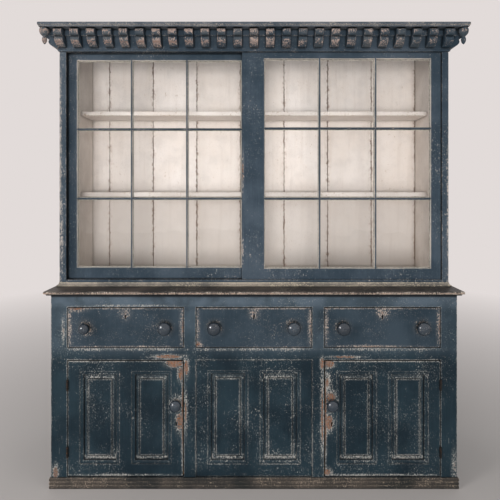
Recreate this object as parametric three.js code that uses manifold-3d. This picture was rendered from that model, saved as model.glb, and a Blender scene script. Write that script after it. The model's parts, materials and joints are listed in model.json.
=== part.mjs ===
// Glazed dresser of painted pine. A display case with two sliding sashes stands on a base
// with three drawers, two panelled doors and a fixed pair of panels between the doors.
// Millimetres, +Z up, the front faces -Y, and the dresser stands on z = 0.

import * as THREE from 'three';
import { mergeVertices } from 'three/addons/utils/BufferGeometryUtils.js';
import Module from 'manifold-3d';

const wasm = await Module();
wasm.setup();

// Clearances
const fit = 0.3; // between two pieces that are fixed together
const slide = 0.5; // round a piece that runs in a track
const overrun = 2; // how far a cutting shape passes the face that it opens

// Facets of the round and curved faces
const turnedSides = 20;
const boreSides = 12;
const knuckleSides = 10;
const curveSteps = 4;

// Both cases
const caseHalfWidth = 958;
const caseDepth = 500;
const sideBoard = 22;
const frontBoard = 22;
const backBoard = 14;
const backBoardWidth = 253;
const firstBackBoard = 98;
const boardJoint = 3;
const boardJointDepth = 4;
const arris = 1.5;

// Base, from the floor up
const bottomRail = 54;
const doorOpening = 552;
const midRail = 57;
const drawerOpening = 192;
const topRail = 58;
const endStile = 77;
const muntin = 56;
const bayCount = 3;
const floorBoard = 20;
const floorStop = 12; // the floor stands this far above the bottom rail, and the doors close on it
const deckBoard = 20;
const guideHeight = 40;
const backFoot = 20;

// Reeded plinth
const plinthReeds = 3;
const plinthHeight = 52;
const plinthReach = 8;
const reedRelief = 4;

// Waist board on the base
const waistBoard = 20;
const waistReach = 26;
const waistNose = 12;
const waistHollow = 10;
const waistRound = 4;

// Drawers
const drawerGap = 2.5;
const drawerBoxHeight = 150;
const drawerSide = 12;
const drawerBottomBoard = 8;
const drawerKnobSpread = 187;
const drawerKnobHeight = 96;
const drawerKeyholeHeight = 150;

// Doors and the fixed centre frame
const hingeLeaf = 1.2;
const latchGap = 4;
const doorTopGap = 3;
const doorBottomGap = 3.5;
const doorStile = 56;
const doorMuntin = 58;
const doorTopRail = 52;
const doorBottomRail = 58;
const centreSetback = 4;
const doorKnobInset = 32;
const doorKnobHeight = 346;
const doorKeyholeHeight = 254;

// Panels and the moulding worked round them
const stickingWidth = 17;
const stickingDepth = 10;
const stickingQuirk = 2;
const panelSeat = 12; // from the front of the frame back to the panel's edge
const panelHousing = 6; // how far the panel passes its opening on each side
const panelEdge = 6;
const panelBevel = 17;
const panelBevelRise = 4;
const panelGroove = 4;
const panelGrooveDepth = 2;
const fieldRise = 7; // from the panel's edge up to its field

// Turned knobs
const knobReach = 48;
const drawerKnob = 64;
const smallDrawerKnob = 51;
const doorKnob = 56;
const knobSpigot = 14;
const knobSpigotLength = 18;

// Keyholes and locks
const keyholeRadius = 4.5;
const keyholeSlot = 5;
const keyholeDrop = 14;
const lockWidth = 62;
const lockHeight = 58;
const lockDepth = 11;
const lockDrop = 22; // from the keyhole down to the bottom of the lock

// Butt hinges
const hingeHeight = 50;
const hingeReach = 18;
const knuckleRadius = 4.5;
const pinRadius = 1.6;
const upperHingeHeight = 434;
const lowerHingeHeight = 118;
const knuckleCount = 3;

// Display case, measured from the top of the waist board
const upperSetback = 92;
const upperFloorTop = 33;
const upperFloorBoard = 22;
const sashOpening = 1122;
const friezeHeight = 100;
const faceStile = 33;
const headPlank = 24;
const trackLip = 5;
const trackWall = 6;
const trackBacking = 11;
const floorTrackDepth = 6;
const headTrackDepth = 10;
const shelfDepth = 177;
const upperShelfTop = 901;
const lowerShelfTop = 465;
const upperShelfBoard = 22;
const lowerShelfBoard = 24;
const shelfHousing = 8;
const shelfShoulder = 6; // the tongue at a shelf's end lies this far below its top

// Sashes
const sashThickness = 24;
const sashLap = 59; // how far a closed sash passes the middle of the case
const sashEndGap = 2;
const sashJambGap = 1;
const sashHeadGap = 2;
const outerSashStile = 52;
const meetingSashStile = 112;
const sashTopRail = 33;
const sashBottomRail = 57;
const paneColumns = 3;
const paneRows = 3;
const uprightBar = 12;
const crossBar = 10;
const barDepth = 12;
const barBevel = 3;
const barBevelDepth = 5;
const glassThickness = 3;
const glassHousing = 6;

// Foot moulding of the display case
const footHeight = 21;
const footReach = 11;
const footFillet = 8;
const footTopReach = 2;

// Cornice: top board, moulding, scroll brackets and corner drops
const topBoard = 22;
const topReach = 75;
const topUnderReach = 69;
const topHollowHeight = 8;
const topFillet = 3;
const corniceHeight = 98;
const fasciaHeight = 29;
const fasciaReach = 30;
const fasciaStep = 5;
const coveFoot = 12;
const coveFootReach = 7;
const bracketCount = 25;
const sideBracketCount = 6;
const bracketWidth = 40;
const bracketHeight = 82;
const bracketReach = 68;
const bracketRoll = 18;
const bracketEndInset = 17;
const dropInset = 25;
const dropHeight = 79;
const dropRadius = 24;

// Levels and widths that follow from the sizes above
const doorTop = bottomRail + doorOpening;
const drawerFloor = doorTop + midRail;
const drawerTop = drawerFloor + drawerOpening;
const baseHeight = drawerTop + topRail;
const insideHalfWidth = caseHalfWidth - sideBoard;
const openingHalfWidth = caseHalfWidth - endStile;
const bay = (2 * openingHalfWidth - (bayCount - 1) * muntin) / bayCount;
const bayPitch = bay + muntin;
const insideFront = frontBoard + fit;
const insideBack = caseDepth - backBoard - fit;
const hingeGap = 2 * hingeLeaf + 3 * fit;
const pinForward = knuckleRadius + fit;
const upperDepth = caseDepth - upperSetback;
const upperInsideBack = upperDepth - backBoard - fit;
const sashHead = upperFloorTop + sashOpening;
const upperHeight = sashHead + friezeHeight;
const sashBayHalfWidth = caseHalfWidth - faceStile;
const sashWidth = sashBayHalfWidth - sashEndGap + sashLap;
const frontTrack = trackLip;
const rearTrack = frontTrack + sashThickness + trackWall;
const trackDepth = rearTrack + sashThickness + trackBacking;

// Finishes
const darkPaint = { color: '#25343e', roughness: 0.55, metalness: 0 };
const upperPaint = { color: '#2c3e48', roughness: 0.55, metalness: 0 };
const wornPaint = { color: '#4d5256', roughness: 0.65, metalness: 0 };
const creamPaint = { color: '#d8d3c6', roughness: 0.7, metalness: 0 };
const bareWood = { color: '#9a7552', roughness: 0.75, metalness: 0 };
const knobPaint = { color: '#2b333d', roughness: 0.3, metalness: 0 };
const darkIron = { color: '#2a2724', roughness: 0.6, metalness: 0.9 };
const clearGlass = { color: '#e4ecec', roughness: 0.05, metalness: 0, transparent: true, opacity: 0.2 };

// A closed mesh with its shared corners joined, which can be cut and joined
function solid(geometry) {
  geometry.deleteAttribute('normal');
  geometry.deleteAttribute('uv');
  const merged = mergeVertices(geometry);
  const corners = merged.index.array;
  const kept = [];
  for (let i = 0; i < corners.length; i += 3) {
    const [a, b, c] = corners.slice(i, i + 3);
    if (a !== b && b !== c && c !== a) kept.push(a, b, c);
  }
  return new wasm.Manifold(new wasm.Mesh({
    numProp: 3,
    vertProperties: merged.getAttribute('position').array,
    triVerts: Uint32Array.from(kept),
  }));
}

function geometryOf(body) {
  const { vertProperties, triVerts } = body.getMesh();
  const geometry = new THREE.BufferGeometry();
  geometry.setAttribute('position', new THREE.BufferAttribute(vertProperties, 3));
  geometry.setIndex(new THREE.BufferAttribute(triVerts, 1));
  return geometry;
}

function joined(geometries) {
  return geometryOf(geometries.map(solid).reduce((whole, next) => whole.add(next)));
}

function cut(geometry, cutters) {
  return geometryOf(cutters.map(solid).reduce((rest, cutter) => rest.subtract(cutter), solid(geometry)));
}

// A board given by its two ends along each direction
function board([left, right], [front, back], [bottom, top]) {
  const geometry = new THREE.BoxGeometry(right - left, back - front, top - bottom);
  return geometry.translate((left + right) / 2, (front + back) / 2, (bottom + top) / 2);
}

// A closed solid through a stack of rectangles, from the lowest level to the highest
function stack(rectangles) {
  const positions = [];
  for (const { left, right, near, far, level } of rectangles) {
    positions.push(left, near, level, right, near, level, right, far, level, left, far, level);
  }
  const index = [];
  for (let ring = 0; ring < rectangles.length - 1; ring += 1) {
    for (let corner = 0; corner < 4; corner += 1) {
      const a = 4 * ring + corner;
      const b = 4 * ring + (corner + 1) % 4;
      index.push(a, b, b + 4, a, b + 4, a + 4);
    }
  }
  const last = 4 * (rectangles.length - 1);
  index.push(0, 2, 1, 0, 3, 2);
  index.push(last, last + 1, last + 2, last, last + 2, last + 3);
  const geometry = new THREE.BufferGeometry();
  geometry.setAttribute('position', new THREE.Float32BufferAttribute(positions, 3));
  geometry.setIndex(index);
  return geometry;
}

// A drawing in x and y, with its level towards the viewer, is stood up to face -Y
function standing(geometry) {
  return geometry.rotateX(Math.PI / 2);
}

// A board whose front and side edges follow a profile of reach and height
function mouldedBoard(profile, depth) {
  return stack(profile.map(({ x: reach, y: level }) => ({
    left: -caseHalfWidth - reach,
    right: caseHalfWidth + reach,
    near: -reach,
    far: depth,
    level,
  })));
}

// A moulding round the front and the sides of a case, open behind and clear of the case
function mouldingRound(profile, depth) {
  const levels = profile.map((point) => point.y);
  const core = board(
    [-caseHalfWidth - fit, caseHalfWidth + fit],
    [-fit, depth + overrun],
    [Math.min(...levels) - overrun, Math.max(...levels) + overrun],
  );
  return cut(mouldedBoard(profile, depth), [core]);
}

// An upright board or frame blank with its front arrises taken off, its face at y = 0
function easedFront({ left, right, bottom, top }, thickness, setback = 0) {
  const outline = { left, right, near: bottom, far: top };
  const eased = { left: left + arris, right: right - arris, near: bottom + arris, far: top - arris };
  return standing(stack([
    { ...outline, level: -thickness - setback },
    { ...outline, level: -arris - setback },
    { ...eased, level: -setback },
  ]));
}

// Vertical boards side by side, with an open joint on both faces
function boardedBack(halfWidth, [front, back], [bottom, top]) {
  const joints = [];
  for (let x = firstBackBoard - halfWidth; x < halfWidth - boardJoint; x += backBoardWidth) {
    const across = [x - boardJoint / 2, x + boardJoint / 2];
    const along = [bottom - overrun, top + overrun];
    joints.push(board(across, [front - overrun, front + boardJointDepth], along));
    joints.push(board(across, [back - boardJointDepth, back + overrun], along));
  }
  return cut(board([-halfWidth, halfWidth], [front, back], [bottom, top]), joints);
}

// A keyhole and a round bore through a front board, drawn at their height
function keyholeCutter(x, height, depth) {
  const half = keyholeSlot / 2;
  const turn = Math.asin(half / keyholeRadius);
  const outline = new THREE.Shape();
  outline.moveTo(-half, -keyholeDrop);
  outline.lineTo(half, -keyholeDrop);
  outline.absarc(0, 0, keyholeRadius, turn - Math.PI / 2, 1.5 * Math.PI - turn, false);
  const geometry = new THREE.ExtrudeGeometry(outline, {
    depth: depth + 2 * overrun,
    bevelEnabled: false,
    curveSegments: boreSides,
  });
  return standing(geometry.translate(x, height, -depth - overrun));
}

function boreCutter(x, height, diameter, depth) {
  const radius = diameter / 2 + fit;
  const geometry = new THREE.CylinderGeometry(radius, radius, depth + 2 * overrun, boreSides);
  return geometry.translate(x, depth / 2, height);
}

// A mushroom knob on its spigot, its axis along -Y and its foot at y = 0
function knobGeometry(diameter) {
  const radius = diameter / 2;
  const spigotRadius = knobSpigot / 2;
  const profileShares = [
    [0.5, 0], [0.48, 0.1], [0.34, 0.2], [0.36, 0.38], [0.8, 0.5],
    [1, 0.64], [0.96, 0.8], [0.72, 0.93], [0.38, 0.99], [0, 1],
  ];
  const points = [
    new THREE.Vector2(0, -knobSpigotLength),
    new THREE.Vector2(spigotRadius, -knobSpigotLength),
    new THREE.Vector2(spigotRadius, fit),
  ];
  for (const [across, along] of profileShares) {
    points.push(new THREE.Vector2(across * radius, fit + along * (knobReach - fit)));
  }
  return new THREE.LatheGeometry(points, turnedSides).rotateX(Math.PI);
}

// A lock case behind a front, with the keyhole through it
function lockGeometry(x, keyholeHeight, setback) {
  const bottom = keyholeHeight - lockDrop;
  const body = board(
    [x - lockWidth / 2, x + lockWidth / 2],
    [setback + fit, setback + fit + lockDepth],
    [bottom, bottom + lockHeight],
  );
  return cut(body, [keyholeCutter(x, keyholeHeight, setback + fit + lockDepth)]);
}

function mesh(name, geometry, finish) {
  const piece = new THREE.Mesh(geometry, new THREE.MeshStandardMaterial(finish));
  piece.name = name;
  return piece;
}

// Base case

function baseSide(side) {
  const [inner, outer] = [insideHalfWidth, caseHalfWidth].map((x) => side * x).sort((a, b) => a - b);
  return board([inner, outer], [insideFront, caseDepth], [0, baseHeight - fit]);
}

function baseFloor() {
  const top = bottomRail + floorStop;
  return board(
    [-insideHalfWidth + fit, insideHalfWidth - fit],
    [insideFront, insideBack],
    [top - floorBoard, top],
  );
}

function baseBack() {
  return boardedBack(
    insideHalfWidth - fit,
    [caseDepth - backBoard, caseDepth],
    [backFoot, baseHeight - fit],
  );
}

// Stiles, rails and muntins in one glued frame, open for the drawers and the doors
function faceFrame() {
  const blank = board([-caseHalfWidth, caseHalfWidth], [0, frontBoard], [0, baseHeight - fit]);
  const openings = [];
  for (let i = 0; i < bayCount; i += 1) {
    const middle = (i - (bayCount - 1) / 2) * bayPitch;
    const across = [middle - bay / 2, middle + bay / 2];
    const through = [-overrun, frontBoard + overrun];
    openings.push(board(across, through, [bottomRail, doorTop]));
    openings.push(board(across, through, [drawerFloor, drawerTop]));
  }
  return cut(blank, openings);
}

// The board that the drawers run on, with a guide beside each drawer
function drawerDeck() {
  const along = [insideFront, insideBack];
  const deckEnd = insideHalfWidth - fit;
  const pieces = [board([-deckEnd, deckEnd], along, [drawerFloor - deckBoard, drawerFloor])];
  const guideLevels = [drawerFloor - deckBoard, drawerFloor + guideHeight];
  for (const side of [-1, 1]) {
    const outer = [side * openingHalfWidth, side * deckEnd].sort((a, b) => a - b);
    const inner = [side * (bayPitch - muntin) / 2, side * (bayPitch + muntin) / 2].sort((a, b) => a - b);
    pieces.push(board(outer, along, guideLevels), board(inner, along, guideLevels));
  }
  return joined(pieces);
}

function plinth() {
  const reed = plinthHeight / plinthReeds;
  const path = new THREE.Path();
  path.moveTo(plinthReach - reedRelief, 0);
  for (let i = 0; i < plinthReeds; i += 1) {
    const bottom = i * reed;
    const waist = plinthReach - reedRelief;
    path.bezierCurveTo(plinthReach, bottom, plinthReach, bottom + reed, waist, bottom + reed);
  }
  return mouldingRound(path.getPoints(curveSteps), caseDepth);
}

function waist() {
  const nose = waistBoard - waistNose;
  const path = new THREE.Path();
  path.moveTo(waistReach - waistHollow, 0);
  path.quadraticCurveTo(waistReach - waistHollow, nose, waistReach, nose);
  path.lineTo(waistReach, waistBoard - waistRound);
  path.quadraticCurveTo(waistReach, waistBoard, waistReach - waistRound, waistBoard);
  return mouldedBoard(path.getPoints(curveSteps), caseDepth);
}

// Drawers, drawn about the middle of their bay and up from the drawer deck

function drawerFront() {
  const half = bay / 2 - drawerGap;
  const outline = { left: -half, right: half, bottom: drawerGap, top: drawerOpening - drawerGap };
  return cut(easedFront(outline, frontBoard), [
    keyholeCutter(0, drawerKeyholeHeight, frontBoard),
    boreCutter(-drawerKnobSpread, drawerKnobHeight, knobSpigot, frontBoard),
    boreCutter(drawerKnobSpread, drawerKnobHeight, knobSpigot, frontBoard),
  ]);
}

function drawerBox() {
  const half = bay / 2 - drawerGap;
  const back = insideBack - fit;
  const outside = board([-half, half], [insideFront, back], [slide, drawerBoxHeight]);
  const inside = board(
    [-half + drawerSide, half - drawerSide],
    [insideFront - overrun, back - drawerSide],
    [slide + drawerBottomBoard, drawerBoxHeight + overrun],
  );
  return cut(outside, [inside]);
}

function drawer(name, leftKnob, rightKnob) {
  const group = new THREE.Group();
  group.add(mesh(`${name}_front`, drawerFront(), darkPaint));
  group.add(mesh(`${name}_box`, drawerBox(), bareWood));
  const knobs = [['left', -1, leftKnob], ['right', 1, rightKnob]];
  for (const [hand, side, diameter] of knobs) {
    const knob = mesh(`${name}_${hand}_knob`, knobGeometry(diameter), knobPaint);
    knob.position.set(side * drawerKnobSpread, 0, drawerKnobHeight);
    group.add(knob);
  }
  group.add(mesh(`${name}_lock`, lockGeometry(0, drawerKeyholeHeight, frontBoard), darkIron));
  return group;
}

// Panelled frames

function panelRectangles({ left, right, bottom, top }) {
  const width = (right - left - 2 * doorStile - doorMuntin) / 2;
  return [left + doorStile, left + doorStile + width + doorMuntin].map((start) => ({
    left: start,
    right: start + width,
    near: bottom + doorBottomRail,
    far: top - doorTopRail,
  }));
}

function inset({ left, right, near, far }, by, level) {
  return { left: left + by, right: right - by, near: near + by, far: far - by, level };
}

// The opening for one panel: a quirk and an ovolo at the front, and a rebate behind
function panelCutters(rectangle, setback) {
  const path = new THREE.Path();
  path.moveTo(stickingWidth, -stickingDepth);
  path.quadraticCurveTo(stickingWidth, -stickingQuirk, stickingQuirk, -stickingQuirk);
  path.lineTo(0, -stickingQuirk);
  const sticking = path.getPoints(curveSteps);
  const front = [
    inset(rectangle, stickingWidth, -frontBoard - overrun - setback),
    ...sticking.map(({ x, y }) => inset(rectangle, x, y - setback)),
    inset(rectangle, 0, overrun),
  ];
  const housing = stickingWidth - panelHousing;
  const rebate = [
    inset(rectangle, housing, -frontBoard - overrun - setback),
    inset(rectangle, housing, -panelSeat - setback),
  ];
  return [standing(stack(front)), standing(stack(rebate))];
}

// A panel in its rebate: a bevel all round, a groove and a raised field
function fieldedPanel(rectangle, setback) {
  const edge = stickingWidth - panelHousing + fit;
  const seat = -panelSeat - fit - setback;
  const bevelEnd = stickingWidth + panelBevel;
  const field = bevelEnd + panelGroove;
  const bevelTop = seat + panelBevelRise;
  const fieldTop = seat + fieldRise;
  return standing(stack([
    inset(rectangle, edge, seat - panelEdge),
    inset(rectangle, edge, seat),
    inset(rectangle, stickingWidth + fit, seat),
    inset(rectangle, bevelEnd, bevelTop),
    inset(rectangle, bevelEnd, bevelTop - panelGrooveDepth),
    inset(rectangle, field, bevelTop - panelGrooveDepth),
    inset(rectangle, field, fieldTop - arris),
    inset(rectangle, field + arris, fieldTop),
  ]));
}

function panelledFrame(outline, setback, extraCutters) {
  const openings = panelRectangles(outline).flatMap((rectangle) => panelCutters(rectangle, setback));
  return cut(easedFront(outline, frontBoard - setback, setback), [...openings, ...extraCutters]);
}

// The fixed frame between the doors, drawn about the middle of the case
function centreFrame() {
  const half = bay / 2 - fit;
  const outline = { left: -half, right: half, bottom: bottomRail + fit, top: doorTop - fit };
  const [leftPanel, rightPanel] = panelRectangles(outline);
  const group = new THREE.Group();
  group.add(mesh('centre_frame', panelledFrame(outline, centreSetback, []), darkPaint));
  group.add(mesh('centre_left_panel', fieldedPanel(leftPanel, centreSetback), darkPaint));
  group.add(mesh('centre_right_panel', fieldedPanel(rightPanel, centreSetback), darkPaint));
  return group;
}

// Doors, drawn about the middle of their bay and up from the bottom rail. The side is -1
// for a door hung on its left edge and 1 for one hung on its right edge.

function doorOutline(side) {
  const hung = side * (bay / 2 - hingeGap);
  const latch = -side * (bay / 2 - latchGap);
  return {
    left: Math.min(hung, latch),
    right: Math.max(hung, latch),
    bottom: doorBottomGap,
    top: doorOpening - doorTopGap,
  };
}

function door(name, side) {
  const outline = doorOutline(side);
  const latchX = -side * (bay / 2 - latchGap - doorKnobInset);
  const lockX = -side * (bay / 2 - latchGap - Math.max(doorKnobInset, lockWidth / 2));
  const rectangles = panelRectangles(outline);
  const [outer, inner] = side < 0 ? rectangles : [...rectangles].reverse();
  const group = new THREE.Group();
  const cutters = [
    keyholeCutter(lockX, doorKeyholeHeight, frontBoard),
    boreCutter(latchX, doorKnobHeight, knobSpigot, frontBoard),
  ];
  group.add(mesh(`${name}_frame`, panelledFrame(outline, 0, cutters), darkPaint));
  group.add(mesh(`${name}_outer_panel`, fieldedPanel(outer, 0), darkPaint));
  group.add(mesh(`${name}_inner_panel`, fieldedPanel(inner, 0), darkPaint));
  group.add(mesh(`${name}_lock`, lockGeometry(lockX, doorKeyholeHeight, frontBoard), darkIron));
  const knob = mesh(`${name}_knob`, knobGeometry(doorKnob), knobPaint);
  knob.position.set(latchX, 0, doorKnobHeight);
  group.add(knob);
  return group;
}

// Butt hinges, drawn about the middle of their pin

function upright(radius, [bottom, top]) {
  const geometry = new THREE.CylinderGeometry(radius, radius, top - bottom, knuckleSides);
  return geometry.rotateX(Math.PI / 2).translate(0, 0, (bottom + top) / 2);
}

function knuckleSpan(index) {
  const length = hingeHeight / knuckleCount;
  const bottom = index * length - hingeHeight / 2;
  return [bottom + fit / 2, bottom + length - fit / 2];
}

// A leaf lies beside the middle of the gap, and a tab joins it to each of its knuckles
function hingeLeafPieces(side, knuckles) {
  const across = [side * fit / 2, side * (fit / 2 + hingeLeaf)].sort((a, b) => a - b);
  const pieces = [
    board(across, [pinForward, pinForward + hingeReach], [fit / 2 - hingeHeight / 2, hingeHeight / 2 - fit / 2]),
  ];
  for (const index of knuckles) {
    pieces.push(board(across, [0, pinForward + fit], knuckleSpan(index)));
    pieces.push(upright(knuckleRadius, knuckleSpan(index)));
  }
  return pieces;
}

function fixedHinge(side) {
  const pin = upright(pinRadius, [-hingeHeight / 2, hingeHeight / 2]);
  return joined([...hingeLeafPieces(side, [0, knuckleCount - 1]), pin]);
}

function movingHinge(side) {
  const bore = upright(pinRadius + fit, [-hingeHeight, hingeHeight]);
  return cut(joined(hingeLeafPieces(-side, [1])), [bore]);
}

function hinge(name, side) {
  const group = new THREE.Group();
  group.add(mesh(`${name}_fixed`, fixedHinge(side), darkIron));
  group.add(mesh(`${name}_moving`, movingHinge(side), darkIron));
  return group;
}

// Display case, drawn up from the top of the waist board with its face at y = 0

function upperSide(side) {
  const span = (inner) => [side * inner, side * caseHalfWidth].sort((a, b) => a - b);
  const levels = [fit, upperHeight - fit];
  const body = joined([
    board(span(insideHalfWidth), [0, upperDepth], levels),
    board(span(sashBayHalfWidth), [0, frontBoard], levels),
  ]);
  const housed = [side * (insideHalfWidth - overrun), side * (insideHalfWidth + shelfHousing)];
  const across = housed.sort((a, b) => a - b);
  const along = [upperInsideBack - shelfDepth - fit, upperDepth - backBoard];
  const shelves = [[upperShelfTop, upperShelfBoard], [lowerShelfTop, lowerShelfBoard]];
  const housings = shelves.map(([top, thickness]) => (
    board(across, along, [top - thickness - fit, top - shelfShoulder + fit])
  ));
  return cut(body, housings);
}

// A tongue at each end is housed in the side, and the shelf's top face ends at its shoulder
function shelf(top, thickness) {
  const tongue = insideHalfWidth + shelfHousing - fit;
  const shoulder = insideHalfWidth - fit;
  const along = [upperInsideBack - shelfDepth, upperInsideBack];
  return joined([
    board([-tongue, tongue], along, [top - thickness, top - shelfShoulder]),
    board([-shoulder, shoulder], along, [top - thickness, top]),
  ]);
}

// Two grooves side by side, which the sashes run in
function trackCutters(levels) {
  const ends = [-caseHalfWidth, caseHalfWidth];
  return [frontTrack, rearTrack].map((front) => (
    board(ends, [front - slide, front + sashThickness + slide], levels)
  ));
}

function upperFloor() {
  const boards = joined([
    board([-sashBayHalfWidth + fit, sashBayHalfWidth - fit], [0, trackDepth], [fit, upperFloorTop]),
    board(
      [-insideHalfWidth + fit, insideHalfWidth - fit],
      [insideFront, upperInsideBack],
      [upperFloorTop - upperFloorBoard, upperFloorTop],
    ),
  ]);
  return cut(boards, trackCutters([upperFloorTop - floorTrackDepth, upperFloorTop + overrun]));
}

function friezeRail() {
  const boards = joined([
    board([-sashBayHalfWidth + fit, sashBayHalfWidth - fit], [0, frontBoard], [sashHead, upperHeight - fit]),
    board([-sashBayHalfWidth + fit, sashBayHalfWidth - fit], [0, trackDepth], [sashHead, sashHead + headPlank]),
    board([-insideHalfWidth + fit, insideHalfWidth - fit], [insideFront, trackDepth], [sashHead, sashHead + headPlank]),
  ]);
  return cut(boards, trackCutters([sashHead - overrun, sashHead + headTrackDepth]));
}

function upperBack() {
  return boardedBack(insideHalfWidth - fit, [upperDepth - backBoard, upperDepth], [fit, upperHeight - fit]);
}

function footMoulding() {
  const path = new THREE.Path();
  path.moveTo(footReach, fit);
  path.lineTo(footReach, footFillet);
  path.quadraticCurveTo(footTopReach, footFillet, footTopReach, footHeight);
  return mouldingRound(path.getPoints(curveSteps), upperDepth);
}

// Sliding sashes, drawn about their middle. The meeting side is -1 where the wide stile is
// on the left and 1 where it is on the right.

function sashSight(meetingSide) {
  const leftStile = meetingSide < 0 ? meetingSashStile : outerSashStile;
  const rightStile = meetingSide < 0 ? outerSashStile : meetingSashStile;
  return {
    left: -sashWidth / 2 + leftStile,
    right: sashWidth / 2 - rightStile,
    near: upperFloorTop + sashBottomRail,
    far: sashHead - sashTopRail,
  };
}

function paneCutters(sight) {
  const width = (sight.right - sight.left - (paneColumns - 1) * uprightBar) / paneColumns;
  const height = (sight.far - sight.near - (paneRows - 1) * crossBar) / paneRows;
  const cutters = [];
  for (let column = 0; column < paneColumns; column += 1) {
    for (let row = 0; row < paneRows; row += 1) {
      const left = sight.left + column * (width + uprightBar);
      const near = sight.near + row * (height + crossBar);
      const pane = { left, right: left + width, near, far: near + height };
      cutters.push(standing(stack([
        inset(pane, 0, -sashThickness - overrun),
        inset(pane, 0, -barBevelDepth),
        inset(pane, -barBevel, 0),
        inset(pane, -barBevel, overrun),
      ])));
    }
  }
  return cutters;
}

function sashFrame(sight) {
  const outline = {
    left: -sashWidth / 2,
    right: sashWidth / 2,
    bottom: upperFloorTop - floorTrackDepth + fit,
    top: sashHead + headTrackDepth - sashHeadGap,
  };
  const rebate = standing(stack([
    inset(sight, -glassHousing, -sashThickness - overrun),
    inset(sight, -glassHousing, -barDepth),
  ]));
  return cut(easedFront(outline, sashThickness), [...paneCutters(sight), rebate]);
}

function sashGlass(sight) {
  return standing(stack([
    inset(sight, fit - glassHousing, -barDepth - fit - glassThickness),
    inset(sight, fit - glassHousing, -barDepth - fit),
  ]));
}

function sash(name, meetingSide, middle, track) {
  const sight = sashSight(meetingSide);
  const group = new THREE.Group();
  group.add(mesh(`${name}_frame`, sashFrame(sight), upperPaint));
  group.add(mesh(`${name}_glass`, sashGlass(sight), clearGlass));
  group.position.set(middle, track, 0);
  return group;
}

// Cornice

function corniceTop() {
  const path = new THREE.Path();
  path.moveTo(topUnderReach, 0);
  path.quadraticCurveTo(topReach - topFillet, 0, topReach - topFillet, topHollowHeight);
  path.lineTo(topReach, topHollowHeight);
  path.lineTo(topReach, topBoard - topFillet);
  path.lineTo(topReach - topFillet, topBoard);
  return mouldedBoard(path.getPoints(curveSteps), upperDepth).translate(0, 0, upperHeight);
}

// The side view of a scroll bracket: a round roll above, a belly under it and a tail
function bracketOutline() {
  const rollCentre = bracketReach - bracketRoll;
  const notchShares = [0.7, 0.44];
  const bellyShares = [[0.93, 0.64], [0.46, 0.9]];
  const tailShares = [[0.3, 0.98], [0.1, 1]];
  const at = ([reachShare, dropShare]) => [reachShare * bracketReach, -dropShare * bracketHeight];
  const shape = new THREE.Shape();
  shape.moveTo(fit, -fit);
  shape.lineTo(fit, -bracketHeight);
  shape.lineTo(...at(tailShares[1]));
  shape.quadraticCurveTo(...at(tailShares[0]), ...at(bellyShares[1]));
  shape.quadraticCurveTo(...at(bellyShares[0]), ...at(notchShares));
  shape.absarc(rollCentre, -bracketRoll - fit, bracketRoll, -Math.PI / 3, Math.PI / 2, false);
  return shape;
}

// Turns an outline of reach and height to stand out from the case in a given direction
function standOut(geometry, outward, place) {
  const up = new THREE.Vector3(0, 0, 1);
  const along = new THREE.Vector3().crossVectors(outward, up);
  const turn = new THREE.Matrix4().makeBasis(outward, up, along);
  return geometry.applyMatrix4(turn.setPosition(place));
}

function bracket(outward, place) {
  const geometry = new THREE.ExtrudeGeometry(bracketOutline(), {
    depth: bracketWidth,
    bevelEnabled: false,
    curveSegments: curveSteps,
  });
  return standOut(geometry.translate(0, 0, -bracketWidth / 2), outward, place);
}

function brackets() {
  const all = [];
  const frontEnd = caseHalfWidth - bracketEndInset;
  for (let i = 0; i < bracketCount; i += 1) {
    const x = THREE.MathUtils.lerp(-frontEnd, frontEnd, i / (bracketCount - 1));
    all.push(bracket(new THREE.Vector3(0, -1, 0), new THREE.Vector3(x, 0, upperHeight)));
  }
  const sideEnd = upperDepth - bracketWidth / 2;
  for (let i = 0; i < sideBracketCount; i += 1) {
    const y = THREE.MathUtils.lerp(bracketEndInset, sideEnd, i / (sideBracketCount - 1));
    for (const side of [-1, 1]) {
      const place = new THREE.Vector3(side * caseHalfWidth, y, upperHeight);
      all.push(bracket(new THREE.Vector3(side, 0, 0), place));
    }
  }
  return all;
}

// A cove under a fascia, with the brackets glued along it
function bracketedCornice() {
  const foot = upperHeight - corniceHeight;
  const fasciaFoot = upperHeight - fasciaHeight;
  const path = new THREE.Path();
  path.moveTo(coveFootReach, foot);
  path.lineTo(coveFootReach, foot + coveFoot);
  path.quadraticCurveTo(coveFootReach, fasciaFoot, fasciaReach - fasciaStep, fasciaFoot);
  path.lineTo(fasciaReach, fasciaFoot);
  path.lineTo(fasciaReach, upperHeight - fit);
  return joined([mouldingRound(path.getPoints(curveSteps), upperDepth), ...brackets()]);
}

// A turned drop under each front corner of the top board: neck, bulb, collar and point
function cornerDrop() {
  const profileShares = [
    [0, 0], [0.18, 0.04], [0.4, 0.15], [0.5, 0.28], [0.46, 0.39], [0.32, 0.46],
    [0.42, 0.5], [0.7, 0.57], [0.93, 0.68], [1, 0.82], [0.93, 0.94],
    [0.8, 1], [0, 1],
  ];
  const points = profileShares.map(([across, up]) => (
    new THREE.Vector2(across * dropRadius, (up - 1) * dropHeight - fit)
  ));
  return new THREE.LatheGeometry(points, turnedSides).rotateX(Math.PI / 2);
}

// The whole dresser

function baseCase() {
  const group = new THREE.Group();
  group.add(mesh('base_left_side', baseSide(-1), darkPaint));
  group.add(mesh('base_right_side', baseSide(1), darkPaint));
  group.add(mesh('base_floor', baseFloor(), bareWood));
  group.add(mesh('base_back', baseBack(), bareWood));
  group.add(mesh('base_face_frame', faceFrame(), darkPaint));
  group.add(mesh('drawer_deck', drawerDeck(), bareWood));
  group.add(mesh('plinth_moulding', plinth(), wornPaint));
  const waistMesh = mesh('waist_board', waist(), wornPaint);
  waistMesh.position.set(0, 0, baseHeight);
  group.add(waistMesh);
  group.add(centreFrame());
  return group;
}

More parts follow.
